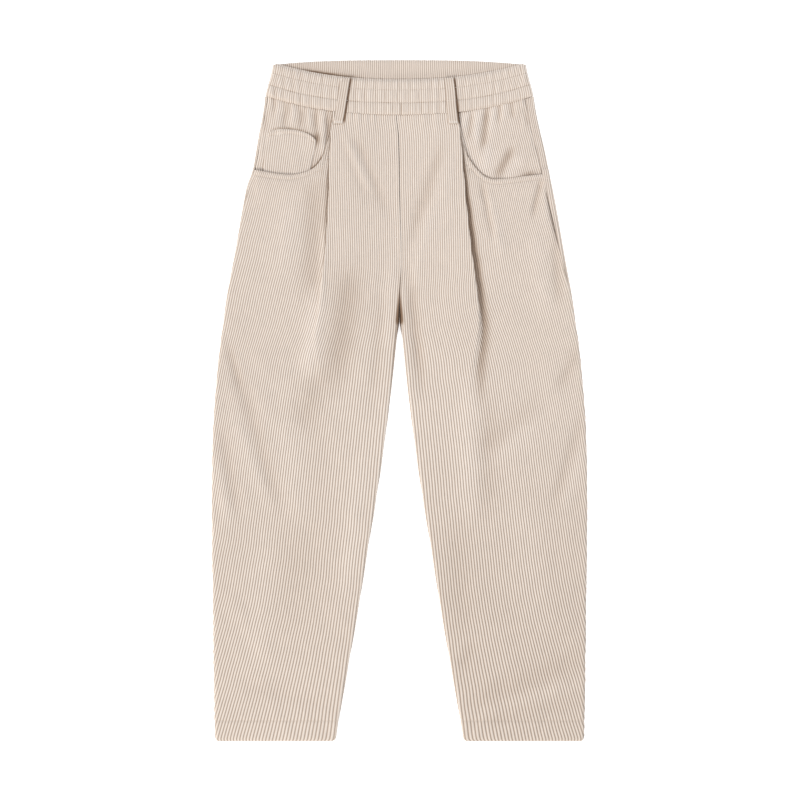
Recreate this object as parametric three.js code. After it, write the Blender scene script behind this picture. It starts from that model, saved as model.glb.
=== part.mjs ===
import * as THREE from "three";

// Pull-on corduroy trousers, laid flat on their back, in millimetres.
// +X is the wearer's left, +Y runs up to the waist, and +Z points out of the front.
// The origin is the middle of the outline, on the surface that the trousers lie on.
// A place is given as its drop, measured down from the top of the waist, and as its
// distance across, measured outward from the middle line.

const LENGTH = 953.4;
const CLOTH = 1.4;
const BACK_CLOTH = 1.6;
const RIB_HEIGHT = 0.9;
const FACING_RIB_PITCH = 3.1;
const COIN_RIB_PITCH = 3.3;
const GAP = 0.3;
const WAIST_GAP = 0.5;
const BACK_WAIST_GAP = 1;

// Heights of the faces above the surface, measured between the ribs.
const FRONT_FACE = 6.7;
const FACING_FACE = 4.1;
const BAND_LAP = 4.6;
const BAND_FACE = 10.3;
const CHANNEL_PUFF = 1.3;
const GATHER_HEIGHT = 0.7;

const CROTCH_DROP = 367;
const FRONT_PARTS_DROP = 333;
const HEM_DROP = 925;
const HEM_CORNER = 5.6;
const HEM_CORNER_SHARE = 0.6;
const HEM_TURN_ABOVE = 2;
const POCKET_UNDERLAP = 15;
const COIN_UNDERLAP = 7;
const COIN_LIFT = 3;
const COIN_LIFT_EXTENT = { nearFrom: 98, nearTo: 112, farFrom: 196, farTo: 207, dropFrom: 185, dropTo: 225 };
const FRONT_GATHERS = 55;
const BACK_GATHERS = 56;
const LOOP_WIDTH = 13;
const LOOP_THICKNESS = 2;

// The curved edges of the waist: the drop in the middle, and how much less it is at a
// distance across, rising by a power of that distance.
const WAIST_SEAM = { middle: 77, rise: 27.5, across: 188, power: 2.4 };
const BAND_TOP = { middle: 27.3, rise: 20.5, across: 175, power: 2.2 };
const BACK_TOP = { middle: 0, rise: -5.6, across: 175, power: 3 };
const BAND_HALF_TOP = 177.2;
const BAND_FLARE = 10.6;
const BAND_FLARE_FROM = 4;
const BAND_FLARE_TO = 58;
const BAND_END_ROUND = 7;
const BAND_END_THICKNESS = 1;
const CHANNELS = 3;
const CHANNEL_SOFTNESS = 0.6;
const BACK_GATHERS_FADE = { from: 0.5, to: 0.9 };
const BAND_END_TUCK = 1.2;

// Where the scooped edges meet the side: the side is higher below it than above.
const POCKET_SIDE_FROM = 149;
const POCKET_SIDE_TO = 155;
const FACING_COVERED_FROM = 143;
const FACING_COVERED_INSET = 4.5;
const FACING_PLEAT_UNDERLAP = 8;
const FACING_EDGE_ROUND = 0.5;
const FACING_SEAM_GAP = 1.5 * GAP;
const FACING_BOTTOM_INSIDE_SCOOP = 4;

// The front's inner edge dips a little along the centre seam, and rolls right over below it.
const SEAM_DIP_TURN = 40;
const SEAM_DIP_ROUND = 5;
const PLEAT_RAMP_FROM = 10;
const PLEAT_RAMP_CLEAR = 6;
const FOLDS_BEGIN = 183;
const FOLDS_FULL = 205;

// A soft fold swells and dies away over these shares of its length.
const FOLD_SWELLS = { from: -0.15, to: 0.25 };
const FOLD_FADES = { from: 0.7, to: 1.15 };

// Ribs are left off where the pleat hides them: from this much of its edge's round, to this
// far past its hidden turn, and this far out from under its edge.
const PLEAT_TURNED_UNDER = 1.2;
const PLEAT_HIDDEN_PAST = 0.5;
const PLEAT_EDGE_SHADOW = 1.5;
const PLEAT_SHIFT_FROM = 250;

// The legs part over a short way below the crotch.
const CROTCH_HALF_GAP = 2.4;
const BACK_PARTS_ABOVE = 6;
const BACK_PARTS_BELOW = 40;
const FRONT_ROLLS_BELOW = 20;
const SHORTEST_STEP = 0.001;

// The outline of one leg, and how many ribs of the corduroy lie inside its inner and outer
// edges. The ribs run off the outer edge as the leg narrows.
const LEG_TABLE = [
  { drop: 45, inner: 0, outer: 186.9, ribsIn: 0, ribsOut: 81, crowd: 0.06 },
  { drop: 60, inner: 0, outer: 188.5, ribsIn: 0, ribsOut: 80.7, crowd: 0.06 },
  { drop: 143, inner: 0, outer: 206.5, ribsIn: 0, ribsOut: 79.5, crowd: 0.06 },
  { drop: 213, inner: 0, outer: 220, ribsIn: 0, ribsOut: 78, crowd: 0.06 },
  { drop: 283, inner: 0, outer: 232.4, ribsIn: 0, ribsOut: 76.7, crowd: 0.06 },
  { drop: 333, inner: 0, outer: 241.6, ribsIn: 0, ribsOut: 75.8, crowd: 0.1 },
  { drop: 367, inner: 2.4, outer: 246.4, ribsIn: 0, ribsOut: 75.2, crowd: 0.16 },
  { drop: 437, inner: 9.4, outer: 254.8, ribsIn: 0.3, ribsOut: 73, crowd: 0.28 },
  { drop: 526, inner: 20, outer: 261, ribsIn: 0.8, ribsOut: 69.3, crowd: 0.28 },
  { drop: 616, inner: 33.2, outer: 262.5, ribsIn: 2, ribsOut: 65, crowd: 0.22 },
  { drop: 694, inner: 46.2, outer: 262, ribsIn: 3.1, ribsOut: 60.7, crowd: 0.12 },
  { drop: 756, inner: 56, outer: 261, ribsIn: 3.9, ribsOut: 56.8, crowd: 0.06 },
  { drop: 829, inner: 68.6, outer: 260.3, ribsIn: 4.8, ribsOut: 51.5, crowd: 0.06 },
  { drop: 896, inner: 80.5, outer: 259.3, ribsIn: 5.6, ribsOut: 46.5, crowd: 0.12 },
  { drop: 953.4, inner: 90, outer: 258, ribsIn: 6.2, ribsOut: 42, crowd: 0.12 },
];

// The pleat in section: how deep it is folded, how far the cloth turns over, and how round
// the fold's edge and its hidden turn are.
const PLEAT_TABLE = [
  { drop: 45, depth: 20, turn: 180, edgeRound: 1.6, innerRound: 0.3 },
  { drop: 77, depth: 19, turn: 180, edgeRound: 1.6, innerRound: 0.3 },
  { drop: 140, depth: 13, turn: 180, edgeRound: 1.6, innerRound: 0.3 },
  { drop: 224, depth: 7.5, turn: 180, edgeRound: 1.6, innerRound: 0.3 },
  { drop: 275, depth: 3, turn: 180, edgeRound: 1.6, innerRound: 0.4 },
  { drop: 300, depth: 1, turn: 150, edgeRound: 1.7, innerRound: 0.6 },
  { drop: 320, depth: 0, turn: 110, edgeRound: 2.2, innerRound: 1.5 },
  { drop: 340, depth: 0, turn: 75, edgeRound: 3, innerRound: 3 },
  { drop: 370, depth: 0, turn: 45, edgeRound: 5, innerRound: 5 },
  { drop: 400, depth: 0, turn: 28, edgeRound: 8, innerRound: 8 },
  { drop: 440, depth: 0, turn: 12, edgeRound: 12, innerRound: 12 },
  { drop: 480, depth: 0, turn: 0, edgeRound: 12, innerRound: 12 },
  { drop: 954, depth: 0, turn: 0, edgeRound: 12, innerRound: 12 },
];
const CENTRE_RIB_PITCH = 3.08;
const RIBS_SETTLE_FROM = 300;
const RIBS_SETTLE_TO = 420;
const EDGE_SNAP = 0.12;

// Where the centre front seam wanders to the wearer's left of the middle line.
const CENTRE_SEAM_TABLE = [
  { drop: 45, shift: -4.2 },
  { drop: 77, shift: -4.2 },
  { drop: 106, shift: -1.4 },
  { drop: 196, shift: 0.4 },
  { drop: 285, shift: 2.4 },
  { drop: 333, shift: 0 },
  { drop: 954, shift: 0 },
];

// What differs between the two legs: the pleat's edge, the scooped pocket's edge, how far
// the back wraps round the side to the seam, and the soft folds that the cloth lies in.
const LEFT = {
  name: "left",
  side: 1,
  pleatShift: 22,
  pleatEdge: [
    { drop: 45, across: 79 },
    { drop: 85, across: 83 },
    { drop: 133, across: 87.5 },
    { drop: 196, across: 92.7 },
    { drop: 267, across: 100.7 },
    { drop: 320, across: 107.6 },
    { drop: 374, across: 112.3 },
    { drop: 463, across: 108 },
    { drop: 954, across: 108 },
  ],
  scoop: [
    { across: 78, drop: 60 },
    { across: 82, drop: 90 },
    { across: 85.4, drop: 106 },
    { across: 89.5, drop: 119 },
    { across: 94.5, drop: 133 },
    { across: 101.5, drop: 144 },
    { across: 110, drop: 155 },
    { across: 121, drop: 164 },
    { across: 133, drop: 167.3 },
    { across: 150.5, drop: 166 },
    { across: 173, drop: 163 },
    { across: 212, drop: 158.5 },
  ],
  wrap: [
    { drop: 45, length: 13 },
    { drop: 160, length: 12 },
    { drop: 246, length: 8 },
    { drop: 336, length: 3 },
    { drop: 390, length: 0 },
    { drop: 954, length: 0 },
  ],
  folds: [
    { from: [60, 118], to: [16, 252], width: 8, height: -2.4 },
    { from: [78, 130], to: [36, 262], width: 10, height: 1.2 },
    { from: [44, 214], to: [10, 336], width: 9, height: 1.2 },
    { from: [13, 292], to: [31, 462], width: 8, height: -3 },
    { from: [112, 210], to: [119, 440], width: 6, height: -2 },
    { from: [126, 190], to: [146, 270], width: 8, height: 1.4 },
    { from: [213, 194], to: [229, 336], width: 7, height: -1.8 },
    { from: [190, 240], to: [206, 360], width: 12, height: 1.4 },
    { from: [100, 440], to: [101, 640], width: 14, height: 1.8 },
    { from: [125, 470], to: [122, 632], width: 15, height: -2.5 },
    { from: [214, 606], to: [245, 512], width: 12, height: -2 },
    { from: [170, 620], to: [196, 800], width: 26, height: 1.2 },
  ],
};
const RIGHT = {
  name: "right",
  side: -1,
  pleatShift: 0,
  pleatEdge: [
    { drop: 45, across: 91 },
    { drop: 77, across: 93 },
    { drop: 97, across: 96 },
    { drop: 196, across: 99.4 },
    { drop: 259, across: 103 },
    { drop: 308, across: 108.5 },
    { drop: 357, across: 115.5 },
    { drop: 399, across: 124 },
    { drop: 954, across: 124 },
  ],
  scoop: [
    { across: 91, drop: 60 },
    { across: 96, drop: 95 },
    { across: 100, drop: 110 },
    { across: 103.5, drop: 125 },
    { across: 109, drop: 138 },
    { across: 118.3, drop: 150 },
    { across: 126.7, drop: 155 },
    { across: 135.8, drop: 158.3 },
    { across: 151.9, drop: 161 },
    { across: 166, drop: 160.2 },
    { across: 180.5, drop: 158.2 },
    { across: 206, drop: 153.4 },
    { across: 212, drop: 152.6 },
  ],
  wrap: [
    { drop: 45, length: 4 },
    { drop: 165, length: 4 },
    { drop: 240, length: 1.5 },
    { drop: 300, length: 0 },
    { drop: 954, length: 0 },
  ],
  folds: [
    { from: [112, 168], to: [112, 330], width: 22, height: -3 },
    { from: [154, 190], to: [160, 300], width: 18, height: 1.4 },
    { from: [103, 236], to: [111, 340], width: 6.5, height: 1.2 },
    { from: [110, 320], to: [128, 440], width: 13, height: 3.4 },
    { from: [66, 300], to: [90, 452], width: 17, height: -3.2 },
    { from: [8, 262], to: [16, 400], width: 8, height: 1.4 },
    { from: [221, 464], to: [176, 592], width: 12, height: -2 },
    { from: [150, 500], to: [136, 660], width: 24, height: 1.4 },
    { from: [90, 480], to: [112, 800], width: 24, height: -2.4 },
    { from: [180, 660], to: [206, 860], width: 24, height: 1.1 },
  ],
};

// The coin pocket's sides on the right pocket facing, and its slanting arched mouth.
const COIN_SIDE_TABLE = [
  { drop: 90, near: 116, far: 183 },
  { drop: 114, near: 116.9, far: 186.5 },
  { drop: 135, near: 121, far: 189.5 },
  { drop: 170, near: 128, far: 192 },
];
const COIN_MOUTH_TABLE = [
  { across: 114, drop: 117 },
  { across: 120, drop: 109 },
  { across: 133, drop: 101.5 },
  { across: 150, drop: 97.6 },
  { across: 166, drop: 96.8 },
  { across: 177, drop: 98.5 },
  { across: 188, drop: 104 },
];

// The two belt loops: where each begins and ends.
const LOOPS = [
  { name: "left", top: [69, 25.6], bottom: [75.5, 90] },
  { name: "right", top: [-75.6, 25.6], bottom: [-86, 90] },
];

// Drops at which a piece's widths and columns are laid out.
const BAND_MEASURED_AT = 45;
const COIN_TOP_MEASURED_AT = 105;
const COIN_MEASURED_AT = 130;
const FACING_MEASURED_AT = 110;
const FACING_BOTTOM_MEASURED_AT = 150;
const WAIST_SEARCH_FROM = 46;
const WAIST_SEARCH_STEP = 0.5;
const WAIST_GUESS = 60;
const WAIST_ROUNDS = 12;

// Rows of the walls, as drops. The last rows make the turned hem and its round corner.
const LEG_ROWS = [45, 100, 140, 165, 205, 250, 295, 333, 367, 400, 460, 560, 680, 800, 924, 948, LENGTH];
const BACK_ROWS = [45, 62, 100, 149, 155, ...LEG_ROWS.filter((drop) => drop >= 165)];
const FACING_SHARES = [0, 0.2, 0.55, 1];
const BAND_SHARES = [0, 0.165, 0.333, 0.5, 0.667, 0.835, 1];
const BACK_BAND_SHARES = [0, 0.4, 1];
const COIN_SHARES = [0, 0.5, 1];
const LOOP_SHARES = [0, 0.1, 0.24, 0.4, 0.56, 0.74, 0.86, 1];

const CREAM = 0xd9c8b4;
const CREAM_INSIDE = 0xd2bfa9;

// A smooth curve through one column of a table, with no overshoot between its rows.
function curve(table, key, column) {
  const keys = table.map((row) => row[key]);
  const values = table.map((row) => row[column]);
  const slopes = keys.slice(1).map((k, i) => (values[i + 1] - values[i]) / (k - keys[i]));
  const tangents = keys.map((_, i) => {
    const before = slopes[i - 1] ?? slopes[0];
    const after = slopes[i] ?? slopes[slopes.length - 1];
    return before * after <= 0 ? 0 : (2 * before * after) / (before + after);
  });
  const last = keys.length - 1;
  return (at) => {
    if (at <= keys[0]) return values[0];
    if (at >= keys[last]) return values[last];
    const i = keys.findIndex((k) => k > at) - 1;
    const step = keys[i + 1] - keys[i];
    const t = (at - keys[i]) / step;
    const rise = values[i + 1] - values[i];
    const a = values[i] + tangents[i] * step * t * (1 - t) * (1 - t);
    return a + rise * t * t * (3 - 2 * t) - tangents[i + 1] * step * t * t * (1 - t);
  };
}

const innerEdge = curve(LEG_TABLE, "drop", "inner");
const outerEdge = curve(LEG_TABLE, "drop", "outer");
const ribsInside = curve(LEG_TABLE, "drop", "ribsIn");
const ribsOutside = curve(LEG_TABLE, "drop", "ribsOut");
const ribCrowding = curve(LEG_TABLE, "drop", "crowd");
const pleatDepth = curve(PLEAT_TABLE, "drop", "depth");
const pleatTurn = curve(PLEAT_TABLE, "drop", "turn");
const pleatEdgeRound = curve(PLEAT_TABLE, "drop", "edgeRound");
const pleatInnerRound = curve(PLEAT_TABLE, "drop", "innerRound");
const centreSeam = curve(CENTRE_SEAM_TABLE, "drop", "shift");
const coinNear = curve(COIN_SIDE_TABLE, "drop", "near");
const coinFar = curve(COIN_SIDE_TABLE, "drop", "far");
const coinMouth = curve(COIN_MOUTH_TABLE, "across", "drop");

for (const leg of [LEFT, RIGHT]) {
  leg.foldEdge = curve(leg.pleatEdge, "drop", "across");
  leg.scoopDrop = curve(leg.scoop, "across", "drop");
  leg.wrapLength = curve(leg.wrap, "drop", "length");
}

function smoothstep(from, to, at) {
  const t = Math.min(1, Math.max(0, (at - from) / (to - from)));
  return t * t * (3 - 2 * t);
}

function mix(a, b, share) {
  return a + (b - a) * share;
}

// The drop of a curved edge of the waist, and the waistband's half width at a drop.
function curvedDrop(edge, across) {
  return edge.middle - edge.rise * Math.pow(Math.abs(across) / edge.across, edge.power);
}
function bandHalfWidth(drop) {
  return BAND_HALF_TOP + BAND_FLARE * smoothstep(BAND_FLARE_FROM, BAND_FLARE_TO, drop);
}

// Where a column of cloth starts below the waist seam, given how far across it runs.
function startBelowWaist(acrossAt, gap) {
  let drop = WAIST_GUESS;
  for (let i = 0; i < WAIST_ROUNDS; i++) drop = curvedDrop(WAIST_SEAM, acrossAt(drop)) + gap;
  return drop;
}

// How high the cloth reaches at the side: lower beside the pocket, where a single layer
// lies on the back, than down the leg.
function sideTop(drop) {
  return mix(FACING_FACE, FRONT_FACE, smoothstep(POCKET_SIDE_FROM, POCKET_SIDE_TO, drop));
}
function rimHeight(drop) {
  return sideTop(drop) / 2;
}

// How far the corner of the hem is rounded off at this drop.
function hemRounding(drop) {
  const into = Math.max(0, drop - (LENGTH - HEM_CORNER));
  return HEM_CORNER - Math.sqrt(Math.max(0, HEM_CORNER * HEM_CORNER - into * into));
}
function hemCorner(drop) {
  return HEM_CORNER_SHARE * hemRounding(drop);
}

// The point at a distance along a chain of straights and arcs, with its direction.
function walk(start, chain, distance) {
  let { x, z, angle } = start;
  for (const piece of chain) {
    const step = Math.min(distance, piece.length);
    const bend = piece.length > 0 ? piece.turn / piece.length : 0;
    const next = angle + bend * step;
    if (Math.abs(bend) < 1e-9) {
      x += step * Math.cos(angle);
      z += step * Math.sin(angle);
    } else {
      x += (Math.sin(next) - Math.sin(angle)) / bend;
      z -= (Math.cos(next) - Math.cos(angle)) / bend;
    }
    angle = next;
    distance -= step;
    if (distance <= 0) break;
  }
  return { x, z, angle };
}
function chainLength(chain) {
  return chain.reduce((sum, piece) => sum + piece.length, 0);
}

// The height that the soft folds add at a place on a leg's front.
function foldHeight(leg, across, drop) {
  let height = 0;
  for (const fold of leg.folds) {
    const [x0, d0] = fold.from;
    const [x1, d1] = fold.to;
    const lengthSquared = (x1 - x0) ** 2 + (d1 - d0) ** 2;
    const share = ((across - x0) * (x1 - x0) + (drop - d0) * (d1 - d0)) / lengthSquared;
    const away = Math.hypot(across - mix(x0, x1, share), drop - mix(d0, d1, share));
    const swells = smoothstep(FOLD_SWELLS.from, FOLD_SWELLS.to, share);
    const ends = swells * (1 - smoothstep(FOLD_FADES.from, FOLD_FADES.to, share));
    height += fold.height * ends * Math.exp(-((away / fold.width) ** 2));
  }
  return height * smoothstep(FOLDS_BEGIN, FOLDS_FULL, drop);
}

// How much the coin pocket underneath lifts the right front beside the scoop.
function coinLift(leg, across, drop) {
  if (leg !== RIGHT) return 0;
  const { nearFrom, nearTo, farFrom, farTo, dropFrom, dropTo } = COIN_LIFT_EXTENT;
  const sideways = smoothstep(nearFrom, nearTo, across) * (1 - smoothstep(farFrom, farTo, across));
  return COIN_LIFT * sideways * (1 - smoothstep(dropFrom, dropTo, drop));
}

// The section across a leg's front at one drop: up over the inner edge, out to the pleat,
// under and back through it, out to the side and down to the seam.
function frontSection(leg, drop) {
  const corner = hemCorner(drop);
  const start = innerEdge(drop) + leg.side * centreSeam(drop) + GAP / 2 + corner;
  const open = smoothstep(FRONT_PARTS_DROP, CROTCH_DROP + FRONT_ROLLS_BELOW, drop);
  const innerTurn = THREE.MathUtils.degToRad(mix(SEAM_DIP_TURN, 90, open));
  const innerRound = mix(SEAM_DIP_ROUND, FRONT_FACE - rimHeight(drop), open);
  const pleatAt = drop > PLEAT_SHIFT_FROM ? Math.max(PLEAT_SHIFT_FROM, drop - leg.pleatShift) : drop;
  const turn = THREE.MathUtils.degToRad(pleatTurn(pleatAt));
  const edgeRound = pleatEdgeRound(pleatAt);
  const depth = pleatDepth(pleatAt);
  const hiddenRound = pleatInnerRound(pleatAt);
  const outerRound = FRONT_FACE - rimHeight(Math.max(drop, POCKET_SIDE_TO));
  const toPleat = leg.foldEdge(drop) - edgeRound - start - innerRound * Math.sin(innerTurn);
  const chain = [
    { length: innerRound * innerTurn, turn: -innerTurn },
    { length: toPleat, turn: 0 },
    { length: edgeRound * turn, turn: -turn },
    { length: depth, turn: 0 },
    { length: hiddenRound * turn, turn },
  ];
  const rim = FRONT_FACE - innerRound * (1 - Math.cos(innerTurn));
  const from = { x: start, z: rim, angle: innerTurn };
  const pleatFrom = chain[0].length + chain[1].length;
  const pleatTo = chainLength(chain);
  const afterPleat = walk(from, chain, pleatTo);
  const edge = outerEdge(Math.max(drop, POCKET_SIDE_TO)) - corner;
  chain.push({ length: edge - outerRound - afterPleat.x, turn: 0 });
  chain.push({ length: (outerRound * Math.PI) / 2, turn: -Math.PI / 2 });
  const lift = FRONT_FACE - afterPleat.z;
  const seam = leg.wrapLength(drop) + GAP;
  return {
    leg,
    drop,
    from,
    chain,
    pleatFrom,
    pleatTo,
    lift,
    depth,
    edgeRound,
    hidden: 2 * depth + edgeRound * (turn / 2 + 1) + hiddenRound * turn,
    length: chainLength(chain) - seam,
  };
}

// The number of the rib at a distance along the section. Above the crotch the ribs run
// evenly down the centre and through the pleat. Further down they spread over the leg.
function ribAt(section, distance) {
  const { drop, length, pleatFrom, hidden } = section;
  const first = ribsInside(drop);
  const last = ribsOutside(drop);
  const share = distance / length;
  const spread = share + (ribCrowding(drop) / 2) * share * (share - 1);
  const below = first + (last - first) * spread;
  const emerge = pleatFrom + hidden;
  const atEmerge = first + emerge / CENTRE_RIB_PITCH;
  const outside = atEmerge + ((last - atEmerge) * (distance - emerge)) / (length - emerge);
  const above = distance < emerge ? first + distance / CENTRE_RIB_PITCH : outside;
  return mix(above, below, smoothstep(RIBS_SETTLE_FROM, RIBS_SETTLE_TO, drop));
}

function distanceOfRib(section, rib) {
  let low = 0;
  let high = section.length;
  for (let i = 0; i < 30; i++) {
    const middle = (low + high) / 2;
    if (ribAt(section, middle) < rib) low = middle;
    else high = middle;
  }
  return (low + high) / 2;
}

// A point of the front's face between ribs, with its normal, and how much rib shows there.
function frontPlace(section, rib) {
  const { leg, drop, from, chain, pleatFrom, pleatTo, lift, depth, edgeRound } = section;
  const nearEdge = rib > ribsOutside(drop) - EDGE_SNAP;
  const clamped = nearEdge ? ribsOutside(drop) : Math.max(ribsInside(drop), rib);
  const distance = distanceOfRib(section, clamped);
  const at = walk(from, chain, distance);
  const rampEnd = pleatFrom - depth - PLEAT_RAMP_CLEAR;
  at.z += distance < pleatFrom ? lift * smoothstep(PLEAT_RAMP_FROM, rampEnd, distance) : lift;
  at.z += foldHeight(leg, at.x, drop) + coinLift(leg, at.x, drop);
  const edgeTop = leg.foldEdge(drop);
  const turnedUnder = distance > pleatFrom + edgeRound * PLEAT_TURNED_UNDER;
  const folded = turnedUnder && distance < pleatTo + PLEAT_HIDDEN_PAST;
  const underlap = distance >= pleatTo && depth > 0 && at.x < edgeTop + PLEAT_EDGE_SHADOW;
  const shown = folded && depth > 0 ? 0 : underlap ? 0 : 1;
  const edgeFade = rib === clamped ? 1 : 0;
  const raised = 0.5 - 0.5 * Math.cos(2 * Math.PI * clamped);
  return { ...at, distance, raise: RIB_HEIGHT * raised * shown * edgeFade };
}

// The drop at which a rib of the front begins: at the waist seam, or at the scooped edge.
function frontStart(leg, rib) {
  const reached = (drop) => {
    const section = frontSection(leg, drop);
    const place = frontPlace(section, rib);
    const onSide = place.distance > section.pleatTo;
    const scooped = onSide && place.x > leg.scoop[0].across ? leg.scoopDrop(place.x) : 0;
    return drop >= Math.max(curvedDrop(WAIST_SEAM, place.x) + WAIST_GAP, scooped);
  };
  let drop = WAIST_SEARCH_FROM;
  while (!reached(drop)) drop += WAIST_SEARCH_STEP;
  for (let step = WAIST_SEARCH_STEP / 2; step > SHORTEST_STEP; step /= 2) {
    drop += reached(drop - step) ? -step : 0;
  }
  return drop;
}

function clothThickness(drop, single) {
  return drop > HEM_DROP - HEM_TURN_ABOVE ? 2 * single : single;
}

// A closed wall from a grid of places. Each place has a point on the face and one on the
// plain inside. The inside uses every few columns only, and its ends fan out to the rim.
function wall(rows, columns, placeAt, insideEvery, mirrored) {
  const points = [];
  const found = new Map();
  const triangles = [];
  const indexOf = (point) => {
    const key = point.map((value) => Math.round(value * 500)).join();
    if (!found.has(key)) {
      found.set(key, points.length);
      points.push(point);
    }
    return found.get(key);
  };
  const add = (a, b, c) => {
    if (a === b || b === c || c === a) return;
    triangles.push(mirrored ? [a, c, b] : [a, b, c]);
  };
  const grid = rows.map((row) =>
    columns.map((column) => {
      const { face, inside } = placeAt(row, column);
      return { face: indexOf(face), inside: indexOf(inside) };
    }),
  );
  const lastRow = rows.length - 1;
  const lastColumn = columns.length - 1;
  for (let i = 0; i < lastRow; i++) {
    for (let j = 0; j < lastColumn; j++) {
      add(grid[i][j].face, grid[i + 1][j].face, grid[i + 1][j + 1].face);
      add(grid[i][j].face, grid[i + 1][j + 1].face, grid[i][j + 1].face);
    }
  }
  const coarse = [];
  for (let j = 0; j < lastColumn; j += insideEvery) coarse.push(j);
  coarse.push(lastColumn);
  for (let k = 0; k < coarse.length - 1; k++) {
    const left = coarse[k];
    const right = coarse[k + 1];
    const starts = (j) => grid.findIndex((row, i) => i < lastRow && row[j].inside !== grid[i + 1][j].inside);
    let fineUntil = 0;
    for (let j = left; j <= right; j++) fineUntil = Math.max(fineUntil, starts(j));
    for (let i = 0; i < lastRow; i++) {
      const upper = grid[i];
      const lower = grid[i + 1];
      const upperStep = i <= fineUntil ? 1 : right - left;
      const lowerStep = i < fineUntil || i === lastRow - 1 ? 1 : right - left;
      for (let j = left; j < right; j += upperStep) {
        const corner = lowerStep === 1 && upperStep === 1 ? j : left;
        add(lower[corner].inside, upper[j].inside, upper[j + upperStep].inside);
      }
      for (let j = left; j < right; j += lowerStep) {
        const corner = lowerStep === 1 && upperStep === 1 ? j + 1 : right;
        add(lower[j].inside, upper[corner].inside, lower[j + lowerStep].inside);
      }
    }
  }
  for (let j = 0; j < lastColumn; j++) {
    const top = grid[0];
    add(top[j].inside, top[j].face, top[j + 1].face);
    add(top[j].inside, top[j + 1].face, top[j + 1].inside);
    const bottom = grid[lastRow];
    add(bottom[j].inside, bottom[j + 1].face, bottom[j].face);
    add(bottom[j].inside, bottom[j + 1].inside, bottom[j + 1].face);
  }
  for (let i = 0; i < lastRow; i++) {
    const upper = grid[i];
    const lower = grid[i + 1];
    add(upper[0].inside, lower[0].face, upper[0].face);
    add(upper[0].inside, lower[0].inside, lower[0].face);
    add(upper[lastColumn].inside, upper[lastColumn].face, lower[lastColumn].face);
    add(upper[lastColumn].inside, lower[lastColumn].face, lower[lastColumn].inside);
  }
  const geometry = new THREE.BufferGeometry();
  geometry.setAttribute("position", new THREE.Float32BufferAttribute(points.flat(), 3));
  geometry.setIndex(triangles.flat());
  geometry.computeVertexNormals();
  return geometry;
}

// The face and inside points of a place on a section, moved out and in along its normal.
function layered(side, drop, place, raise, thickness) {
  const nx = -Math.sin(place.angle);
  const nz = Math.cos(place.angle);
  const y = LENGTH / 2 - drop;
  return {
    face: [side * (place.x + nx * raise), y, place.z + nz * raise],
    inside: [side * (place.x - nx * thickness), y, place.z - nz * thickness],
  };
}

// One front: half a rib to a column, each column running down a rib.
function frontGeometry(leg) {
  const columns = [];
  for (let rib = 0; rib <= ribsOutside(0); rib += 0.5) columns.push({ rib, start: frontStart(leg, rib) });
  const placeAt = (row, column) => {
    const drop = Math.max(row, column.start);
    const section = frontSection(leg, drop);
    const place = frontPlace(section, column.rib);
    return layered(leg.side, drop, place, place.raise, clothThickness(drop, CLOTH));
  };
  return wall(LEG_ROWS, columns, placeAt, 12, leg.side < 0);
}

// The section across a leg's back: down from the inseam, flat along the surface, and up
// round the side to where the side seam lies.
function backSection(leg, drop) {
  const corner = hemCorner(drop);
  const open = smoothstep(CROTCH_DROP - BACK_PARTS_ABOVE, CROTCH_DROP + BACK_PARTS_BELOW, drop);
  const inner = GAP / 2 + Math.max(0, innerEdge(drop) - CROTCH_HALF_GAP * (1 - open)) + corner;
  const innerRound = rimHeight(drop) - GAP;
  const innerTurn = (open * Math.PI) / 2;
  const outerRound = rimHeight(drop) - GAP / 2;
  const upperRound = sideTop(drop) - rimHeight(drop);
  const outer = outerEdge(drop) - corner;
  const wrap = leg.wrapLength(drop);
  const round = Math.min(wrap, (upperRound * Math.PI) / 2);
  const over = round - GAP / 2;
  const chain = [
    { length: Math.max(SHORTEST_STEP, innerRound * innerTurn), turn: innerTurn, steps: 2 },
    { length: 1, turn: 0, steps: 5 },
    { length: (outerRound * Math.PI) / 2, turn: Math.PI / 2, steps: 3 },
    { length: Math.max(SHORTEST_STEP, over), turn: Math.max(0, over) / upperRound, steps: 2 },
    { length: Math.max(SHORTEST_STEP, wrap - round), turn: 0, steps: 1 },
  ];
  const start = { x: inner, z: innerRound * (1 - Math.cos(innerTurn)), angle: -innerTurn };
  const flatFrom = walk(start, chain, chain[0].length);
  chain[1].length = outer - outerRound - flatFrom.x;
  return { start, chain };
}

function backGeometry(leg) {
  const columns = [0];
  backSection(leg, 100).chain.forEach((piece, index) => {
    for (let step = 1; step <= piece.steps; step++) columns.push(index + step / piece.steps);
  });
  const placeAt = (row, column) => {
    const index = Math.max(0, Math.ceil(column) - 1);
    const along = (chain) => chainLength(chain.slice(0, index)) + (column - index) * chain[index].length;
    const acrossAt = (drop) => {
      const { start, chain } = backSection(leg, drop);
      return walk(start, chain, along(chain)).x;
    };
    const drop = Math.max(row, startBelowWaist(acrossAt, BACK_WAIST_GAP));
    const section = backSection(leg, drop);
    const place = walk(section.start, section.chain, along(section.chain));
    return layered(leg.side, drop, place, 0, -clothThickness(drop, BACK_CLOTH));
  };
  return wall(BACK_ROWS, columns, placeAt, 1, leg.side > 0);
}

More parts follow.
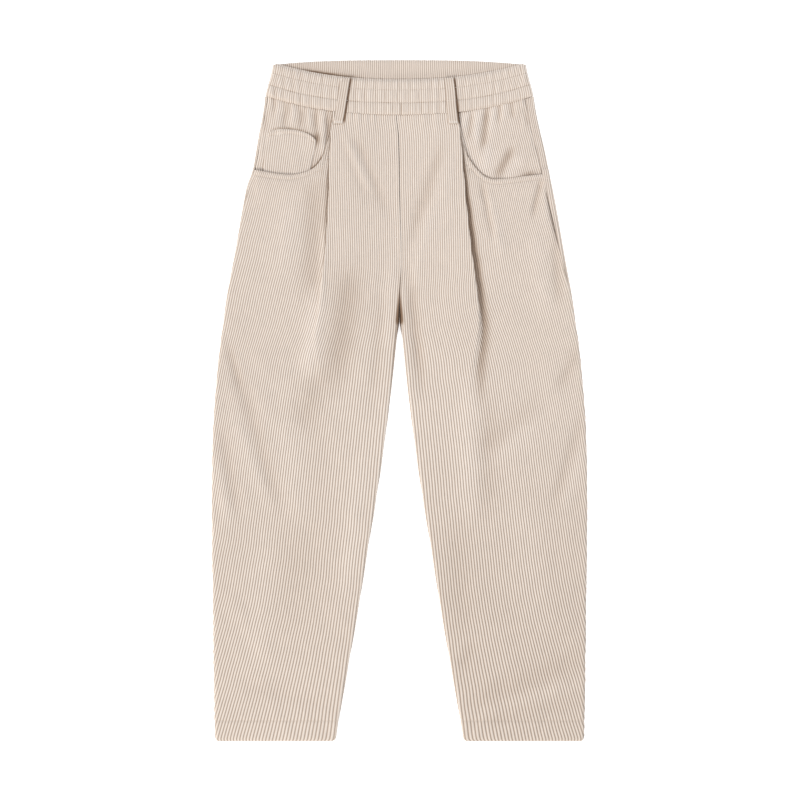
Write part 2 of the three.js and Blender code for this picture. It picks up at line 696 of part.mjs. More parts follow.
// A pocket facing: from under the pleat out to the side seam, and from the waist seam down
// under the front's scooped edge. Its outer edge draws in where the front covers it.
function facingSection(leg, drop) {
  const rim = Math.min(rimHeight(drop), FACING_FACE - FACING_EDGE_ROUND);
  const outerRound = FACING_FACE - rim;
  const covered = smoothstep(FACING_COVERED_FROM, POCKET_SIDE_FROM, drop);
  const outer = outerEdge(drop) - FACING_COVERED_INSET * covered;
  const start = { x: leg.scoop[0].across - FACING_PLEAT_UNDERLAP, z: FACING_FACE, angle: 0 };
  const chain = [
    { length: outer - outerRound - start.x, turn: 0 },
    { length: (outerRound * Math.PI) / 2, turn: -Math.PI / 2 },
  ];
  return { start, chain, length: chainLength(chain) - leg.wrapLength(drop) - FACING_SEAM_GAP };
}
function facingPlace(leg, share, fraction) {
  const acrossAt = (drop) => {
    const { start, chain, length } = facingSection(leg, drop);
    return walk(start, chain, length * fraction).x;
  };
  const across = acrossAt(FACING_BOTTOM_MEASURED_AT);
  const top = startBelowWaist(acrossAt, WAIST_GAP);
  const scoopFrom = leg.scoop[0].across + FACING_BOTTOM_INSIDE_SCOOP;
  const bottom = leg.scoopDrop(Math.max(across, scoopFrom)) + POCKET_UNDERLAP;
  const drop = mix(top, bottom, share);
  const section = facingSection(leg, drop);
  const place = walk(section.start, section.chain, section.length * fraction);
  return { drop, place };
}
function facingGeometry(leg) {
  const section = facingSection(leg, FACING_MEASURED_AT);
  const ribs = Math.round(section.length / FACING_RIB_PITCH);
  const columns = Array.from({ length: 2 * ribs + 1 }, (_, i) => i / (2 * ribs));
  const placeAt = (share, fraction) => {
    const { drop, place } = facingPlace(leg, share, fraction);
    const raised = 0.5 - 0.5 * Math.cos(2 * Math.PI * ribs * fraction);
    return layered(leg.side, drop, place, RIB_HEIGHT * raised, CLOTH);
  };
  return wall(FACING_SHARES, columns, placeAt, 6, leg.side < 0);
}

// The coin pocket on the right facing: the facing's face moved out by its ribs and a gap.
function coinPocketGeometry() {
  const width = coinFar(COIN_MEASURED_AT) - coinNear(COIN_MEASURED_AT);
  const ribs = Math.round(width / COIN_RIB_PITCH);
  const columns = Array.from({ length: 2 * ribs + 1 }, (_, i) => i / (2 * ribs));
  const under = FACING_FACE + RIB_HEIGHT + GAP;
  const placeAt = (share, fraction) => {
    const guess = mix(coinNear(COIN_TOP_MEASURED_AT), coinFar(COIN_TOP_MEASURED_AT), fraction);
    const bottom = RIGHT.scoopDrop(guess) + COIN_UNDERLAP;
    const drop = mix(coinMouth(guess), bottom, share);
    const x = mix(coinNear(drop), coinFar(drop), fraction);
    const raised = 0.5 - 0.5 * Math.cos(2 * Math.PI * ribs * fraction);
    const place = { x, z: under + CLOTH, angle: 0 };
    return layered(-1, drop, place, RIB_HEIGHT * raised, CLOTH);
  };
  return wall(COIN_SHARES, columns, placeAt, 6, true);
}

// The front of the waistband: three elastic channels, gathered across their whole width.
function bandSurface(share) {
  const channels = Math.pow(Math.abs(Math.sin(CHANNELS * Math.PI * share)), CHANNEL_SOFTNESS);
  return BAND_FACE + CHANNEL_PUFF * channels;
}
function bandEnd(across, drop) {
  const inset = Math.min(1, Math.max(0, (Math.abs(across) - bandHalfWidth(drop)) / BAND_END_ROUND + 1));
  return Math.sqrt(Math.max(0, 1 - inset * inset));
}
function frontBandGeometry() {
  const columns = Array.from({ length: 2 * FRONT_GATHERS + 1 }, (_, i) => i / (2 * FRONT_GATHERS));
  const under = BAND_LAP + GAP;
  const placeAt = (share, fraction) => {
    const guess = (2 * fraction - 1) * bandHalfWidth(BAND_MEASURED_AT);
    const drop = mix(curvedDrop(BAND_TOP, guess), curvedDrop(WAIST_SEAM, guess), share);
    const x = (2 * fraction - 1) * bandHalfWidth(drop);
    const gather = 0.5 - 0.5 * Math.cos(2 * Math.PI * FRONT_GATHERS * fraction);
    const top = bandSurface(share) + GATHER_HEIGHT * gather;
    const z = under + BAND_END_THICKNESS + (top - under - BAND_END_THICKNESS) * bandEnd(x, drop);
    const y = LENGTH / 2 - drop;
    return { face: [x, y, z], inside: [x, y, under] };
  };
  return wall(BAND_SHARES, columns, placeAt, 8, false);
}

// The back of the waistband: it lies flat, and its gathered inside shows above the front.
function backBandGeometry() {
  const columns = Array.from({ length: 2 * BACK_GATHERS + 1 }, (_, i) => i / (2 * BACK_GATHERS));
  const placeAt = (share, fraction) => {
    const guess = (2 * fraction - 1) * bandHalfWidth(BAND_MEASURED_AT);
    const drop = mix(curvedDrop(BACK_TOP, guess), curvedDrop(WAIST_SEAM, guess), share);
    const x = (2 * fraction - 1) * bandHalfWidth(drop);
    const gather = 0.5 - 0.5 * Math.cos(2 * Math.PI * BACK_GATHERS * fraction);
    const fade = 1 - smoothstep(BACK_GATHERS_FADE.from, BACK_GATHERS_FADE.to, share);
    const top = BAND_LAP - GATHER_HEIGHT * (1 - gather) * fade;
    const z = BACK_CLOTH + (top - BACK_CLOTH) * bandEnd(x, drop);
    const y = LENGTH / 2 - drop;
    const tuck = (1 - bandEnd(x, drop)) * BAND_END_TUCK;
    return { face: [x, y, z], inside: [x - Math.sign(x) * tuck, y, 0] };
  };
  return wall(BACK_BAND_SHARES, columns, placeAt, 8, false);
}

// A belt loop: a strip from the waistband's top edge down over the channels to below the
// waist seam, its inside just clear of the gathers and of the pleat.
function loopGeometry(loop) {
  const [topAcross, topDrop] = loop.top;
  const [bottomAcross, bottomDrop] = loop.bottom;
  const placeAt = (share, fraction) => {
    const drop = mix(topDrop, bottomDrop, share);
    const x = mix(topAcross, bottomAcross, share) + (fraction - 0.5) * LOOP_WIDTH;
    const inside = BAND_FACE + CHANNEL_PUFF + GATHER_HEIGHT + GAP;
    const y = LENGTH / 2 - drop;
    return { face: [x, y, inside + LOOP_THICKNESS], inside: [x, y, inside] };
  };
  return wall(LOOP_SHARES, [0, 0.5, 1], placeAt, 1, false);
}

const trousers = new THREE.Group();

function addPiece(name, geometry, color) {
  const material = new THREE.MeshStandardMaterial({ color, roughness: 0.95, metalness: 0 });
  const mesh = new THREE.Mesh(geometry, material);
  mesh.name = name;
  trousers.add(mesh);
}

for (const leg of [LEFT, RIGHT]) {
  addPiece(`back_${leg.name}`, backGeometry(leg), CREAM);
  addPiece(`pocket_facing_${leg.name}`, facingGeometry(leg), CREAM);
  addPiece(`front_${leg.name}`, frontGeometry(leg), CREAM);
}
addPiece("coin_pocket", coinPocketGeometry(), CREAM);
addPiece("waistband_back", backBandGeometry(), CREAM_INSIDE);
addPiece("waistband_front", frontBandGeometry(), CREAM);
for (const loop of LOOPS) addPiece(`belt_loop_${loop.name}`, loopGeometry(loop), CREAM);

export default trousers;
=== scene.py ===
import math

import bpy
import numpy as np
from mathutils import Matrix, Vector
from mathutils.bvhtree import BVHTree


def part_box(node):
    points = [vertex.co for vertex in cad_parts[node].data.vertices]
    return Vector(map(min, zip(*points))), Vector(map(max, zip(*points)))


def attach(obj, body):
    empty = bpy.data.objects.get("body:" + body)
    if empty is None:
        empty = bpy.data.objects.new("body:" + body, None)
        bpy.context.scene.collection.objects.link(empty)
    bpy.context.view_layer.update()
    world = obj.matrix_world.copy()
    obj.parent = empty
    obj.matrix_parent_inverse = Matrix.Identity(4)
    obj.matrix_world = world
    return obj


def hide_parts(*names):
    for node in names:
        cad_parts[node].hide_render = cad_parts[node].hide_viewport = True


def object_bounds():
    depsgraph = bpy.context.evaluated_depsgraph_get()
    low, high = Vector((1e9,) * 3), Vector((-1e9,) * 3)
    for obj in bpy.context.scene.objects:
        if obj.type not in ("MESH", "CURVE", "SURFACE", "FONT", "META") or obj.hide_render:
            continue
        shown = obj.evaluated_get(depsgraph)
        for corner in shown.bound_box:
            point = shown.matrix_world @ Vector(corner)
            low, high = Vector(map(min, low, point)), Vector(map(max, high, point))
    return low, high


# Pull-on corduroy trousers laid flat on their back. +X is the wearer's left and +Y the waist.
# Sizes are in millimetres until a mesh is made. A place is given by its drop, measured down
# from the top of the waist, and by how far across it is from the middle line.
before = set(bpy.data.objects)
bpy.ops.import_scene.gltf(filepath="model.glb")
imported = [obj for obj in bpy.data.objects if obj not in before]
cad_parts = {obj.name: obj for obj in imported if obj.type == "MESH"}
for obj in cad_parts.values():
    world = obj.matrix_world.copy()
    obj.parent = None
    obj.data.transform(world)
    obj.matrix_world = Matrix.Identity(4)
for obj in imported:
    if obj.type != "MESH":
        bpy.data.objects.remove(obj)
cad_low, cad_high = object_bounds()

MM = 0.001
LENGTH = (cad_high.y - cad_low.y) / MM
BAND_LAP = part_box("waistband_back")[1].z / MM
BAND_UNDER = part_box("waistband_front")[0].z / MM

# The cloth's thickness, its ribs and the gaps between pieces.
GAP = 0.3
CLOSED_GAP = 0.02
WAIST_GAP = 0.15
BACK_WAIST_GAP = 1.0
CLOTH = 1.4
BACK_CLOTH = 1.6
COIN_CLOTH = 1.1
RIB_HEIGHT = 0.95
BACK_RIB_INTO = 0.45
RIB_PHASES = np.array([0.0, 0.12, 0.3, 0.5, 0.7, 0.88])
BACK_PHASES = np.array([0.0, 0.25, 0.5, 0.75])
PANEL_RIBS = 82
INNER_EVERY = 12
CENTRE_RIB_PITCH = 3.08
FACING_RIB_PITCH = 3.05
COIN_RIB_PITCH = 3.2
SHARP_ANGLE = math.radians(60)

# How high the cloth lies, and the drops at which its form changes.
FRONT_FACE = 6.7
FACING_FACE = 4.1
PANEL_TOP = 45
FACING_WIDEST = 150
POCKET_END = 155
PLEAT_EVEN_TO = 250
FRONT_PARTS_DROP = 333
CROTCH_DROP = 367
CROTCH_SHADE = (284, 336)
HEM_DROP = 925
HEM_CORNER = 5.6
HEM_CORNER_SHARE = 0.6

# Seams and pockets. A pair by side gives the wearer's left under 1 and the right under -1.
SIDE_NOTCH = {1: 0, -1: 3.4}
SIDE_SEAM_DIP = {1: 0.25, -1: 0.1}
SEAM_DIP_TURN = 40
SEAM_DIP_ROUND = 5
STITCH_FROM_SCOOP = 7.0
POCKET_UNDERLAP = 15
FACING_TUCK = {1: 4, -1: -1}
FACING_RISE = 2.4
FACING_SWELL = 1.1
FACING_DEEPEST = 1.6
COIN_TOP = 105
COIN_UNDERLAP = 7
COIN_LIFT = {1: 0, -1: 2.4}
COIN_STITCH_BELOW = 6.0

# The waistband: its half width, the ends of its channels as shares of its height, and loops.
BAND_HALF_TOP = 177.2
BAND_FLARE = 10.6
BAND_END_ROUND = 7
BAND_RIBS = 61
BAND_ROWS = np.array([0, 0.31, 0.665, 1])
BAND_LOW = 8.5
BAND_BOTTOM = 7.4
BAND_PUFF = 1.1
BAND_GATHER = 0.3
LOOP_WIDTH = 13
LOOP_RIBS = 4
LOOP_OVER = 11.2
LOOP_HIGH = 1.9
TACK_ABOVE_END = 2.2

# How much painted shade and painted shadow darken the cloth's inside, rib valleys, seams, folds and
# edges; a negative value paints light instead.
# The cloth's inside takes a dark rib tone and is darkened further with painted shade.
INSIDE_RIB = 0.3
INSIDE_DARK = 0.3
# SEAM_TONE holds back the painted valley shade near the side seams; VALLEY_TONE is how much painted
# shade darkens the rib valleys.
SEAM_TONE = 0.7
VALLEY_TONE = 0.85
# Painted shadow along the centre seam, in the crotch and beside the right leg's inseam.
CENTRE_SEAM_DARK = 0.8
CROTCH_DARK = 3.6
INSEAM_DARK = {1: 0, -1: 1.1}
# Painted shade over the lower legs, deeper in the rib valleys; painted shade in the troughs and
# painted highlight on the ridges of folds, per millimetre of height.
VALLEY_DARK = {1: 0.14, -1: 0}
FRONT_SHADE = {1: 0.12, -1: 0.08}
FOLD_SHADE = 0.1
# Painted shadow beside the loops; painted shade and painted highlight on the facings' puckers;
# painted shade on each facing's inner part, which paints light on the left leg instead.
LOOP_DARK = 2.3
FACING_FOLD_SHADE = {1: 0.24, -1: 0.2}
FACING_PAINTED_SHADE = {1: -0.12, -1: 0.08}
# Painted shadow along the scoop edges, above the coin pocket's mouth and at its corners.
EDGE_DARK = {1: 0.75, -1: 1.5}
COIN_MOUTH_DARK = 0.8
COIN_CORNERS = [(116, 110, 1.2), (126, 153, 0.4)]

# Each kind of noise is drawn from its own seed.
SEED = dict(
    pocket_edge=5, hem=11, lumps=21, waist=31, front=41, facing=61, coin=71, band=81,
    back_band=101,
)

# Stitches: their size, and the places and widths of the rings that make one.
STITCH_LENGTH = 2.5
STITCH_SPACING = 3.3
STITCH_RADIUS = 0.36
STITCH_SIDES = 6
STITCH_RINGS = [(-1, 0.15), (-0.72, 0.8), (0, 1), (0.72, 0.8), (1, 0.15)]
FLY_TACK = (-4.9, 248.78)
TACK_SPACING = 2.1
TACK_LENGTH = 2.0

# Colours of the cloth and the thread, in linear light: the crest, the rib valleys darkened with
# painted shade, the brown that the deepest painted shadow turns to, and the thread.
CREST = (0.805, 0.712, 0.632, 1)
VALLEY = (0.41, 0.318, 0.25, 1)
PAINTED_SHADOW_BROWN = (0.2, 0.118, 0.072, 1)
THREAD = (0.7, 0.62, 0.55, 1)

# The camera looks straight down on a frame of 800 pixels, and the floor lies just below.
PIXEL = 1.4
FRAME_PIXELS = 800
LENS = 85
SENSOR = 36
CAMERA_OVER = 5
FLOOR_REACH = 6.0
FLOOR_BELOW = 0.2
WORLD_LIGHT = 0.55

# The rows of each mesh: offsets below a panel's top edge, drops down the leg, and shares of a
# height, all closer together at stitches and edges.
FRONT_OFFSETS = [0, 0.6, 1.5, 3, 5.6, 6.6, 7.0, 7.4, 8.4, 11]
BACK_OFFSETS = [0, 1.5, 4]
FRONT_DROPS = [
    *np.arange(80, 340, 5), *np.arange(340, 916, 8),
    918, 921, 922.6, 923.6, 924.4, 925.2, 926.4, 929, 934, 940, 946, 950, 952.4, LENGTH,
]
BACK_DROPS = [
    *np.arange(52, 148, 6.0), 149, 150.5, 152, 153.5, 155, *np.arange(160, 916, 9.0),
    921, 923.6, 925.2, 929, 936, 944, 950, LENGTH,
]
BAND_TOP_ROWS = [0, 0.012, 0.03, 0.06, 0.1, 0.15, 0.2, 0.25, 0.29]
COIN_MOUTH_ROWS = [0, 0.006, 0.02, 0.045, 0.07, 0.08, 0.09, 0.12]

# The waist's curved edges: the drop in the middle, and how much less it is further across.
WAIST_SEAM = dict(middle=77, rise=27.5, across=188, power=2.4)
BAND_TOP = dict(middle=27.3, rise=20.5, across=175, power=2.2)
BACK_TOP = dict(middle=0, rise=-5.6, across=175, power=3)
LOOPS = {
    "left": ((69, 25.6), (75.5, 90)),
    "right": ((-75.6, 25.6), (-86, 90)),
}


def table(columns, rows):
    """A table by the names of its columns."""
    return dict(zip(columns.split(), np.array(rows, float).T))


LEG = table("drop inner outer ribs_in ribs_out crowd", [
    (45, 0, 186.9, 0, 81, 0.06),
    (60, 0, 188.5, 0, 80.7, 0.06),
    (143, 0, 206.5, 0, 79.5, 0.06),
    (213, 0, 220, 0, 78, 0.06),
    (283, 0, 232.4, 0, 76.7, 0.06),
    (333, 0, 241.6, 0, 75.8, 0.1),
    (367, 2.4, 246.4, 0, 75.2, 0.16),
    (437, 9.4, 254.8, 0.3, 73, 0.28),
    (526, 20, 261, 0.8, 69.3, 0.28),
    (616, 33.2, 262.5, 2, 65, 0.22),
    (694, 46.2, 262, 3.1, 60.7, 0.12),
    (756, 56, 261, 3.9, 56.8, 0.06),
    (829, 68.6, 260.3, 4.8, 51.5, 0.1),
    (896, 80.5, 259.3, 5.6, 46.5, 0.18),
    (953.4, 90, 258, 6.2, 42, 0.2),
])
PLEAT = table("drop depth turn edge_round inner_round", [
    (45, 20, 180, 1.1, 0.3),
    (77, 19, 180, 1.1, 0.3),
    (150, 12, 180, 1.6, 0.3),
    (224, 7.5, 180, 1.6, 0.3),
    (275, 3, 180, 1.6, 0.4),
    (300, 1, 150, 1.7, 0.6),
    (320, 0, 110, 2.2, 1.5),
    (340, 0, 75, 3, 3),
    (370, 0, 45, 5, 5),
    (400, 0, 28, 8, 8),
    (440, 0, 12, 12, 12),
    (480, 0, 0, 12, 12),
    (954, 0, 0, 12, 12),
])
CENTRE_SEAM = table("drop shift", [
    (45, -4.2), (77, -4.2), (106, -1.4), (196, 0.4), (285, 2.4), (333, 0), (954, 0),
])

# A fold is a soft ridge, or a trough where its height is negative, from one place to another.
FOLD_COLUMNS = "x0 drop0 x1 drop1 width height"

# The groove that lies open beside a pleat: its width, its depth, and how dark the painted shadow in
# it is.
GROOVE_COLUMNS = "drop width depth dark"
LEGS = {
    "left": dict(
        side=1,
        pleat_shift=22,
        pleat_edge=table("drop across", [
            (45, 79), (85, 83), (133, 87.5), (196, 92.7), (267, 100.7), (320, 107.6),
            (374, 112.3), (463, 108), (954, 108),
        ]),
        scoop=table("across drop", [
            (78, 60), (82, 90), (85.4, 106), (89.5, 119), (94.5, 133), (101.5, 144),
            (110, 155), (121, 164), (133, 167.3), (150.5, 166), (173, 163), (212, 158.5),
        ]),
        wrap=table("drop length", [(45, 13), (160, 12), (246, 8), (336, 3), (390, 0), (954, 0)]),
        groove=table(GROOVE_COLUMNS, [
            (95, 2.5, 0, 0.5), (150, 4, 0.3, 1.3), (200, 6, 1.2, 1.5), (250, 8, 1.8, 1.4),
            (330, 10.5, 2.0, 1.1), (390, 12, 1.7, 0.9), (440, 12, 1.2, 0.55), (500, 12, 0, 0),
            (954, 9, 0, 0),
        ]),
        puckers=table(FOLD_COLUMNS, [
            (94, 72, 90, 100, 4, 1.6),
            (102, 72, 97, 112, 3.5, -1.6),
            (111, 68, 107, 118, 5, 2.0),
            (123, 66, 115, 128, 5, -2.9),
            (131, 66, 127, 104, 4.5, 1.5),
            (141, 62, 138, 88, 3.5, -1.2),
            (148, 60, 149, 84, 4, 0.9),
            (156, 56, 158, 82, 3.5, -1.5),
            (136, 165, 158, 122, 6, -2.8),
            (151, 168, 172, 130, 7, 1.3),
            (172, 64, 180, 92, 3, -0.9),
            (124, 120, 120, 160, 8, 1.4),
        ]),
        folds=table(FOLD_COLUMNS, [
            (60, 118, 16, 252, 8, -2.2),
            (78, 130, 36, 262, 10, 1.2),
            (44, 214, 10, 336, 9, 1.2),
            (13, 292, 31, 462, 8, -3.0),
            (114, 170, 132, 252, 5, -2.8),
            (124, 188, 144, 276, 8, 1.8),
            (199, 164, 186, 220, 4, -3.2),
            (206, 172, 204, 236, 5, 1.0),
            (206, 182, 222, 258, 3.5, -3.2),
            (218, 250, 223, 340, 8, -2.0),
            (190, 240, 206, 360, 12, 1.4),
            (222, 460, 253, 402, 8, -1.8),
            (100, 440, 101, 640, 17, 1.4),
            (125, 470, 122, 640, 16, -1.5),
            (112, 546, 200, 474, 15, -1.2),
            (118, 570, 200, 508, 11, 0.9),
            (217, 620, 256, 496, 8, -1.5),
            (230, 630, 258, 548, 9, 0.8),
            (80, 640, 88, 800, 16, -0.9),
            (86, 854, 104, 816, 8, -1.2),
            (98, 902, 266, 832, 15, -1.25),
            (106, 914, 266, 868, 9, 0.7),
            (114, 926, 262, 896, 10, -0.8),
            (170, 620, 196, 800, 26, 0.6),
        ]),
    ),
    "right": dict(
        side=-1,
        pleat_shift=0,
        pleat_edge=table("drop across", [
            (45, 91), (77, 93), (97, 96), (196, 99.4), (259, 103), (308, 108.5),
            (357, 115.5), (399, 124), (954, 124),
        ]),
        scoop=table("across drop", [
            (91, 60), (96, 95), (100, 110), (103.5, 125), (109, 138), (118.3, 150),
            (126.7, 155), (135.8, 158.3), (151.9, 161), (166, 160.2), (180.5, 158.2),
            (206, 153.4), (212, 152.6),
        ]),
        wrap=table("drop length", [(45, 4), (165, 4), (240, 1.5), (300, 0), (954, 0)]),
        groove=table(GROOVE_COLUMNS, [
            (95, 2.5, 0, 0), (150, 3, 0.2, 0.05), (172, 4, 0.5, 0.6), (230, 5, 0.6, 0.35),
            (270, 6, 0.2, 0), (330, 10, 0.5, 0), (400, 10, 0, 0), (954, 10, 0, 0),
        ]),
        puckers=table(FOLD_COLUMNS, [
            (100, 74, 101, 128, 4, -1.7),
            (108, 76, 107, 134, 5, 1.9),
            (117, 72, 118, 98, 3.5, -1.4),
            (126, 70, 128, 96, 4, 1.3),
            (136, 68, 139, 94, 3.5, -1.3),
            (147, 65, 152, 92, 4, 1.3),
            (157, 62, 163, 94, 3.5, -1.2),
            (168, 62, 178, 96, 4, 1.0),
            (182, 64, 194, 110, 4, -0.9),
            (190, 100, 200, 146, 5, 0.8),
        ]),
        folds=table(FOLD_COLUMNS, [
            (66, 100, 18, 212, 8, -1.8),
            (84, 108, 44, 196, 6, -1.0),
            (76, 112, 38, 184, 7, 1.2),
            (117, 162, 124, 336, 15, -2.5),
            (154, 190, 160, 300, 18, 1.4),
            (103, 236, 110, 336, 5, 2.6),
            (110, 320, 128, 440, 13, 3.8),
            (66, 292, 92, 460, 19, -3.2),
            (8, 262, 16, 400, 8, 1.4),
            (22, 330, 38, 480, 9, -1.2),
            (240, 400, 222, 462, 6, -2.2),
            (250, 516, 226, 636, 9, -1.5),
            (256, 560, 238, 650, 8, 1.2),
            (226, 440, 168, 624, 10, -1.6),
            (232, 496, 184, 620, 9, 1.1),
            (110, 430, 140, 520, 18, -1.5),
            (150, 500, 136, 660, 24, 1.4),
            (124, 470, 150, 800, 32, -1.0),
            (52, 560, 76, 760, 12, 1.1),
            (180, 660, 206, 860, 24, 0.6),
            (96, 904, 220, 874, 10, -0.6),
        ]),
    ),
}
# Soft folds of the backs: below the seat, behind the knees and above the hems.
SEATS = {
    "left": table(FOLD_COLUMNS, [
        (12, 300, 70, 210, 12, 1.3),
        (10, 372, 112, 322, 11, 1.5),
        (16, 396, 150, 392, 12, 1.1),
        (60, 590, 200, 566, 10, 1.2),
        (86, 640, 236, 668, 11, 1.0),
        (150, 330, 176, 540, 20, 0.9),
        (96, 880, 220, 846, 9, 0.9),
    ]),
    "right": table(FOLD_COLUMNS, [
        (10, 288, 84, 236, 13, 1.2),
        (12, 366, 132, 342, 12, 1.4),
        (22, 410, 128, 438, 10, 1.1),
        (70, 566, 186, 600, 11, 1.2),
        (110, 650, 244, 622, 10, 1.0),
        (168, 300, 190, 500, 22, 0.8),
        (110, 858, 232, 884, 9, 0.8),
    ]),
}
COIN_SIDES = table("drop near far", [
    (90, 116, 183), (114, 116.9, 186.5), (135, 121, 189.5), (170, 128, 192),
])
COIN_MOUTH = table("across drop", [
    (114, 117), (120, 109), (133, 101.5), (150, 97.6), (166, 96.8), (177, 98.5), (188, 104),
])


# Curves, noise and sections

def curve(columns, key, column):
    """A smooth curve through one column of a table, with no overshoot between its rows."""
    keys, values = columns[key], columns[column]
    slopes = np.diff(values) / np.diff(keys)
    before = np.concatenate([slopes[:1], slopes])
    after = np.concatenate([slopes, slopes[-1:]])
    total = np.where(before * after > 0, before + after, 1)
    tangents = np.where(before * after > 0, 2 * before * after / total, 0)

    def at(place):
        place = np.clip(place, keys[0], keys[-1])
        i = np.clip(np.searchsorted(keys, place, "right") - 1, 0, len(keys) - 2)
        step = keys[i + 1] - keys[i]
        t = (place - keys[i]) / step
        rise = values[i + 1] - values[i]
        bend = tangents[i] * (1 - t) - tangents[i + 1] * t
        return values[i] + rise * t * t * (3 - 2 * t) + bend * step * t * (1 - t)

    return at


def mix(a, b, share):
    return a + (b - a) * share


def smoothstep(low, high, at):
    t = np.clip((at - low) / (high - low), 0, 1)
    return t * t * (3 - 2 * t)


def fade(full, gone, at):
    """1 before one place and 0 beyond another, with a soft step between them."""
    return 1 - smoothstep(full, gone, at)


def between(low, full, falls, gone, at):
    """1 between two soft ends and 0 outside them."""
    return smoothstep(low, full, at) * fade(falls, gone, at)


def bell(offset, width):
    """A soft bump: 1 in the middle, a third of it one width away, none at two."""
    return np.exp(-((offset / width) ** 2))


def wander(at, wavelength, seed, waves=7):
    """Smooth noise along one line, from about -1 to 1, the same each time."""
    random = np.random.default_rng(seed)
    total = np.zeros(np.shape(at))
    for _ in range(waves):
        frequency = 2 * np.pi / (wavelength * random.uniform(0.6, 1.9))
        total = total + np.sin(frequency * np.asarray(at) + random.uniform(0, 2 * np.pi))
    return total / math.sqrt(waves)


inner_edge = curve(LEG, "drop", "inner")
outer_edge = curve(LEG, "drop", "outer")
ribs_inside = curve(LEG, "drop", "ribs_in")
ribs_outside = curve(LEG, "drop", "ribs_out")
rib_crowding = curve(LEG, "drop", "crowd")
pleat_depth = curve(PLEAT, "drop", "depth")
pleat_turn = curve(PLEAT, "drop", "turn")
pleat_edge_round = curve(PLEAT, "drop", "edge_round")
pleat_inner_round = curve(PLEAT, "drop", "inner_round")
centre_seam = curve(CENTRE_SEAM, "drop", "shift")
coin_near = curve(COIN_SIDES, "drop", "near")
coin_far = curve(COIN_SIDES, "drop", "far")
coin_mouth = curve(COIN_MOUTH, "across", "drop")
for leg in LEGS.values():
    leg["fold_edge"] = curve(leg["pleat_edge"], "drop", "across")
    leg["scoop_drop"] = curve(leg["scoop"], "across", "drop")
    leg["wrap_length"] = curve(leg["wrap"], "drop", "length")
    for column in ("width", "depth", "dark"):
        leg[f"groove_{column}"] = curve(leg["groove"], "drop", column)


def curved_drop(edge, across):
    """The drop of one of the waist's curved edges at a place across."""
    return edge["middle"] - edge["rise"] * (np.abs(across) / edge["across"]) ** edge["power"]


def band_half_width(drop):
    return BAND_HALF_TOP + BAND_FLARE * smoothstep(4, 58, drop)


def side_top(drop):
    """The height of the side's upper face: the facing's above the pocket edge's end."""
    return mix(FACING_FACE, FRONT_FACE, smoothstep(POCKET_END - 6, POCKET_END, drop))


def rim_height(drop):
    """The height at which a front and a back meet along the sides."""
    return side_top(drop) / 2


def side_notch(leg, drop):
    """How far the side draws in around the end of the right front's pocket edge."""
    return SIDE_NOTCH[leg["side"]] * between(70, 146, 153, 182, drop)


def hem_corner(drop):
    """How far the hem's rounded corners draw in."""
    into = np.maximum(0, drop - (LENGTH - HEM_CORNER))
    return HEM_CORNER_SHARE * (HEM_CORNER - np.sqrt(np.maximum(0, HEM_CORNER**2 - into**2)))


def walk(start, chain, arc_step=0.3, straight_step=4):
    """Distance, x, z and direction along a chain of straights and arcs, as four arrays."""
    x, z, angle = start
    travelled = 0.0
    runs = [np.array([[0.0], [x], [z], [angle]])]
    for length, turn in chain:
        if length <= 0:
            continue
        bend = turn / length
        straight = abs(bend) < 1e-9
        step = straight_step if straight else arc_step
        along = np.linspace(0, length, max(2, math.ceil(length / step)) + 1)[1:]
        if straight:
            directions = np.full_like(along, angle)
            xs = x + along * math.cos(angle)
            zs = z + along * math.sin(angle)
        else:
            directions = angle + bend * along
            xs = x + (np.sin(directions) - math.sin(angle)) / bend
            zs = z - (np.cos(directions) - math.cos(angle)) / bend
        runs.append(np.array([travelled + along, xs, zs, directions]))
        x, z, angle = xs[-1], zs[-1], directions[-1]
        travelled += length
    return np.concatenate(runs, axis=1)


def crease_height(folds, across, drop):
    """The height that a table of soft folds adds at a place."""
    height = 0
    for x0, drop0, x1, drop1, width, tall in zip(*folds.values()):
        squared = (x1 - x0) ** 2 + (drop1 - drop0) ** 2
        share = ((across - x0) * (x1 - x0) + (drop - drop0) * (drop1 - drop0)) / squared
        away = np.hypot(across - mix(x0, x1, share), drop - mix(drop0, drop1, share))
        height = height + tall * between(-0.15, 0.25, 0.7, 1.15, share) * bell(away, width)
    return height


def fold_height(leg, across, drop):
    """The height that the soft folds add at a place on a leg's front, clear of the pockets."""
    centre = fade(-16, -6, across - leg["fold_edge"](drop))
    shown = np.maximum(smoothstep(161, 175, drop), centre * smoothstep(92, 125, drop))
    return crease_height(leg["folds"], across, drop) * shown


def groove_share(leg, outside, drop):
    """How far into the open groove beside a pleat a place lies, outside the fold's edge."""
    width = leg["groove_width"](drop)
    return bell(outside - 0.45 * width, 0.6 * width)


def loop_shadow(across, drop):
    """The painted shadow that lies along the right edge of each raised loop."""
    dark = 0
    for (top_x, top_drop), (bottom_x, bottom_drop) in LOOPS.values():
        share = (drop - top_drop) / (bottom_drop - top_drop)
        beyond = across - mix(top_x, bottom_x, share) - LOOP_WIDTH / 2
        dark = dark + between(-0.04, 0.06, 0.94, 1.02, share) * bell(beyond - 1.3, 1.6)
    return LOOP_DARK * dark


def coin_lift(leg, across, drop):
    """How much the coin pocket underneath lifts the right front beside the scoop."""
    return COIN_LIFT[leg["side"]] * between(98, 112, 196, 207, across) * fade(170, 215, drop)


def ribbed(first, last, phases=RIB_PHASES):
    """Columns of ribbed cloth from one rib to another, several to a rib."""
    return np.append((np.arange(first, last)[:, None] + phases[None, :]).ravel(), last)


def rib_profile(ribs, roundness=1.5):
    """The height of the cloth's ribs, from 0 in the valley to 1 on the crest."""
    return np.abs(np.sin(np.pi * ribs)) ** roundness


